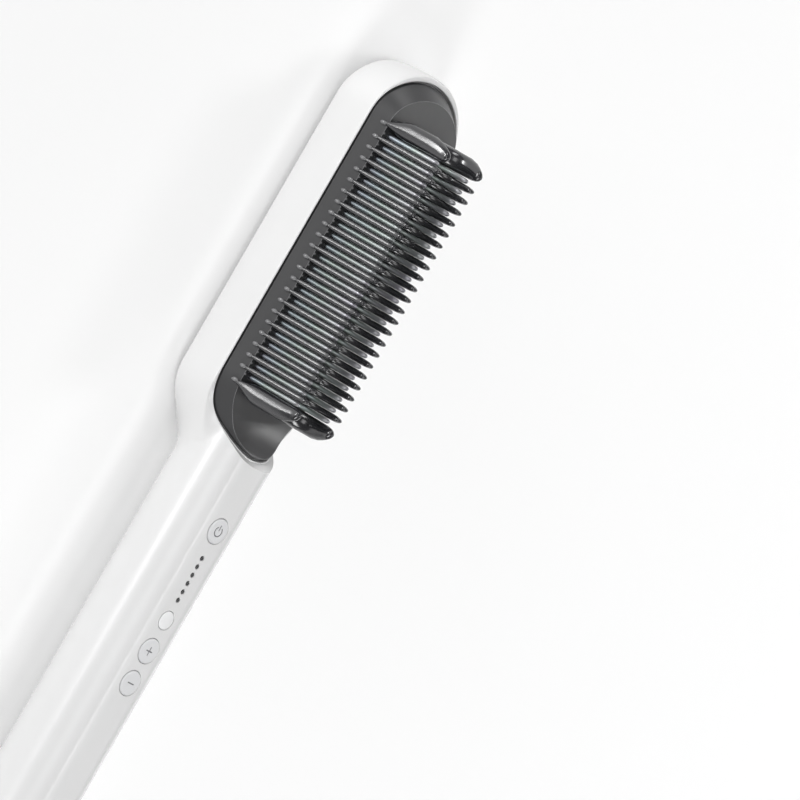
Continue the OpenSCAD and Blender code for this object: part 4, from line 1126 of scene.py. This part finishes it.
def capShape():
    c = endCap
    face, bore, bevel, seam, spigot = c["face"], c["bore"], c["bevel"], c["seam"], c["spigot"]
    circles = ((spigot, bore + c["boreWall"]), (spigot, bore), (face + 0.3, bore), (face, bore + 0.3))
    rings = [tubeRing(x, r, 2 * r, 0.1) for x, r in circles]  # a flat beyond the radius leaves it round
    rings += [tubeRing(face + bevel * (1 - cos(a)), *handleForm, inset=bevel * (1 - sin(a)))
              for a in arc(0, 22, 45, 67, 90)]
    rings += [tubeRing(seam - 0.2, *handleForm), tubeRing(seam, *handleForm, inset=0.2)]
    rings += [tubeRing(x, c["spigotRadius"], c["spigotFlat"], 0.1) for x in (seam, spigot)]
    body = loftLoop("endCap", rings)
    wide, lip, narrow = c["recess"], c["recessBevel"], c["screwBore"]
    deep, end = face + c["recessDepth"], c["boreEnd"]
    profile = [(0, face - 1), (wide + lip, face - 1), (wide + lip, face), (wide, face + lip), (wide, deep),
               (narrow, deep), (narrow, end), (0, end)]
    for side in (-1, 1):
        combine(body, turned("recess", profile, (0, side * c["screwY"], 0), axis="X", sides=40))
    return finishShape(body, 30)


screw = {"head": 2.1, "headDepth": 1.3, "shank": 1.0, "driveHalf": 1.15, "driveWidth": 0.55, "driveDepth": 0.8}


def screwShape(shank):
    # screw with a cross drive, its head's face at zero
    s = screw
    r, high, end = s["shank"], s["headDepth"], s["headDepth"] + shank
    profile = [(0, 0, 0), (s["head"], 0, 0.3), (s["head"], high, 0.1), (r, high, 0), (r, end, 0.2), (0, end, 0)]
    head = turned("screw", roundCorners(profile, 3), (0, 0, 0), axis="X", sides=28)
    for x, y in ((s["driveHalf"], 0), (0, s["driveHalf"])):
        bar = prism("drive", strokeOutline([(-x, -y), (0, 0), (x, y)], s["driveWidth"], 3), -0.5, s["driveDepth"])
        bar.data.transform(Matrix.Rotation(pi / 2, 4, "Y"))
        combine(head, bar)
    return finishShape(head, 30, False)


settlePiece(capShape(), finish["white_shell"], "body", "white_shell", "end_cap")
lowCap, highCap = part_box("cap_screws")
capScrews = repeatAlong(screwShape((highCap.x - lowCap.x) / mm - screw["headDepth"]), "capScrews",
                        finish["screw_steel"], 2, (lowCap.x / mm, -endCap["screwY"], 0), (0, 2 * endCap["screwY"], 0))
settlePiece(capScrews, None, "body", "screw_steel", "cap_screws")

glandProfile = [(3.1, 0, 0), (5.4, 0, 0.5), (6.2, 1.2, 0.8), (8.0, 7.3, 0.5), (8.0, 8.7, 0.2), (6.2, 8.7, 0.05),
                (6.2, 14.3, 0), (5.5, 14.3, 0), (5.5, 15.1, 0), (6.2, 15.1, 0), (6.2, 15.9, 0.2), (4.6, 15.9, 0),
                (4.6, 31.65, 0.2), (1.6, 31.65, 0.2), (1.6, 13.0, 0), (3.1, 13.0, 0)]  # radius, place, rounding
gland = turned("cordGland", roundCorners(glandProfile, 5), (0, 0, 0), axis="X", sides=72)
settlePiece(finishShape(gland, 30), finish["white_shell"], "cord_swivel", "white_plastic", "cord_gland")
print("end cap and gland made")


# finishes of the pieces that keep their shape

slotOf = {part["node"]: part["material_slot"] for part in frame["record"]["subparts"]}
for name, solid in frame["nodes"].items():
    paint(solid, finish[slotOf[name]])


# floor, light and camera

stage = {"floor": -17.2, "size": 6.0, "floorTone": 0.70, "floorGlow": 0.30, "floorRough": 0.9, "world": 0.15}
# name, way from the aim, distance, size along and across, power, share of its light on matt surfaces
lamps = [
    ("frontLowLamp", (0.34, 0.94, 0.045), 1.3, (1.2, 0.14), 11.5, 0.28),
    ("roofLamp", (0.0, -0.342, 0.940), 1.6, (1.6, 0.35), 6.8, 1.0),
    ("backHighLamp", (0.0, -0.669, 0.743), 1.5, (1.6, 0.4), 3.2, 1.0),
    ("backLowLamp", (0.0, -0.985, 0.174), 1.3, (1.6, 0.25), 2.2, 1.0),
    ("rampLamp", (0.32, -0.766, 0.56), 1.4, (0.3, 0.2), 3.0, 1.0),
    ("tipLamp", (0.92, 0.12, 0.37), 1.4, (0.5, 0.3), 2.6, 0.7),
    ("handleLamp", (-0.82, 0.0, 0.57), 1.4, (0.8, 0.4), 7.4, 1.0),
    ("fillLamp", (0.2, 0.66, 0.72), 1.9, (1.4, 0.6), 5.5, 0.8),
]
aim = Vector((0.1873, -0.0244, 0.0290))
view = {"lens": 400, "sensor": 36, "distance": 2.717, "toViewer": (0, 0.766, 0.643), "right": (0.5, -0.557, 0.663)}


def studio():
    half, z = stage["size"] / 2, stage["floor"] * mm
    mesh = bpy.data.meshes.new("floor")
    mesh.from_pydata([(x, y, z) for x, y in rectangle(-half, -half, half, half)], [], [(0, 1, 2, 3)])
    floor = showPiece("floor", mesh)
    material, tree, shader = shaderOf("paleFloor", Roughness=stage["floorRough"], Emission_Color=(1, 1, 1),
                                      Emission_Strength=stage["floorGlow"])
    drift = noiseOn(tree, objectPlace(tree), 6.0, 2.0)
    tone = stage["floorTone"]
    feed(tree, shader["Base Color"], mixColour(tree, drift, grey(tone - 0.01), grey(tone)))
    paint(floor, material)
    world = bpy.data.worlds.new("softRoom")
    world.use_nodes = True
    for label, value in (("Color", (1, 1, 1)), ("Strength", stage["world"])):
        feed(world.node_tree, world.node_tree.nodes["Background"].inputs[label], value)
    bpy.context.scene.world = world


def facing(spot, right, up, back):
    return Matrix.Translation(spot) @ Matrix((right, up, back)).transposed().to_4x4()


def placeLamps():
    for name, way, distance, size, power, matt in lamps:
        data = bpy.data.lights.new(name, "AREA")
        data.shape = "RECTANGLE"
        data.size, data.size_y = size
        data.energy, data.diffuse_factor = power, matt
        lamp = showPiece(name, data)
        outward = Vector(way).normalized()
        along = (Vector((1, 0, 0)) - outward * outward.x).normalized()
        lamp.matrix_world = facing(aim + outward * distance, along, outward.cross(along), outward)


def placeCamera():
    toViewer, right = Vector(view["toViewer"]).normalized(), Vector(view["right"]).normalized()
    right = (right - toViewer * right.dot(toViewer)).normalized()
    data = bpy.data.cameras.new("camera")
    data.lens, data.sensor_width = view["lens"], view["sensor"]
    data.clip_start, data.clip_end = 0.05, 20
    camera = showPiece("camera", data)
    camera.matrix_world = facing(aim + toViewer * view["distance"], right, toViewer.cross(right), toViewer)
    bpy.context.scene.camera = camera


studio()
placeLamps()
placeCamera()
bpy.context.scene.view_settings.view_transform = "Standard"
bpy.context.view_layer.update()
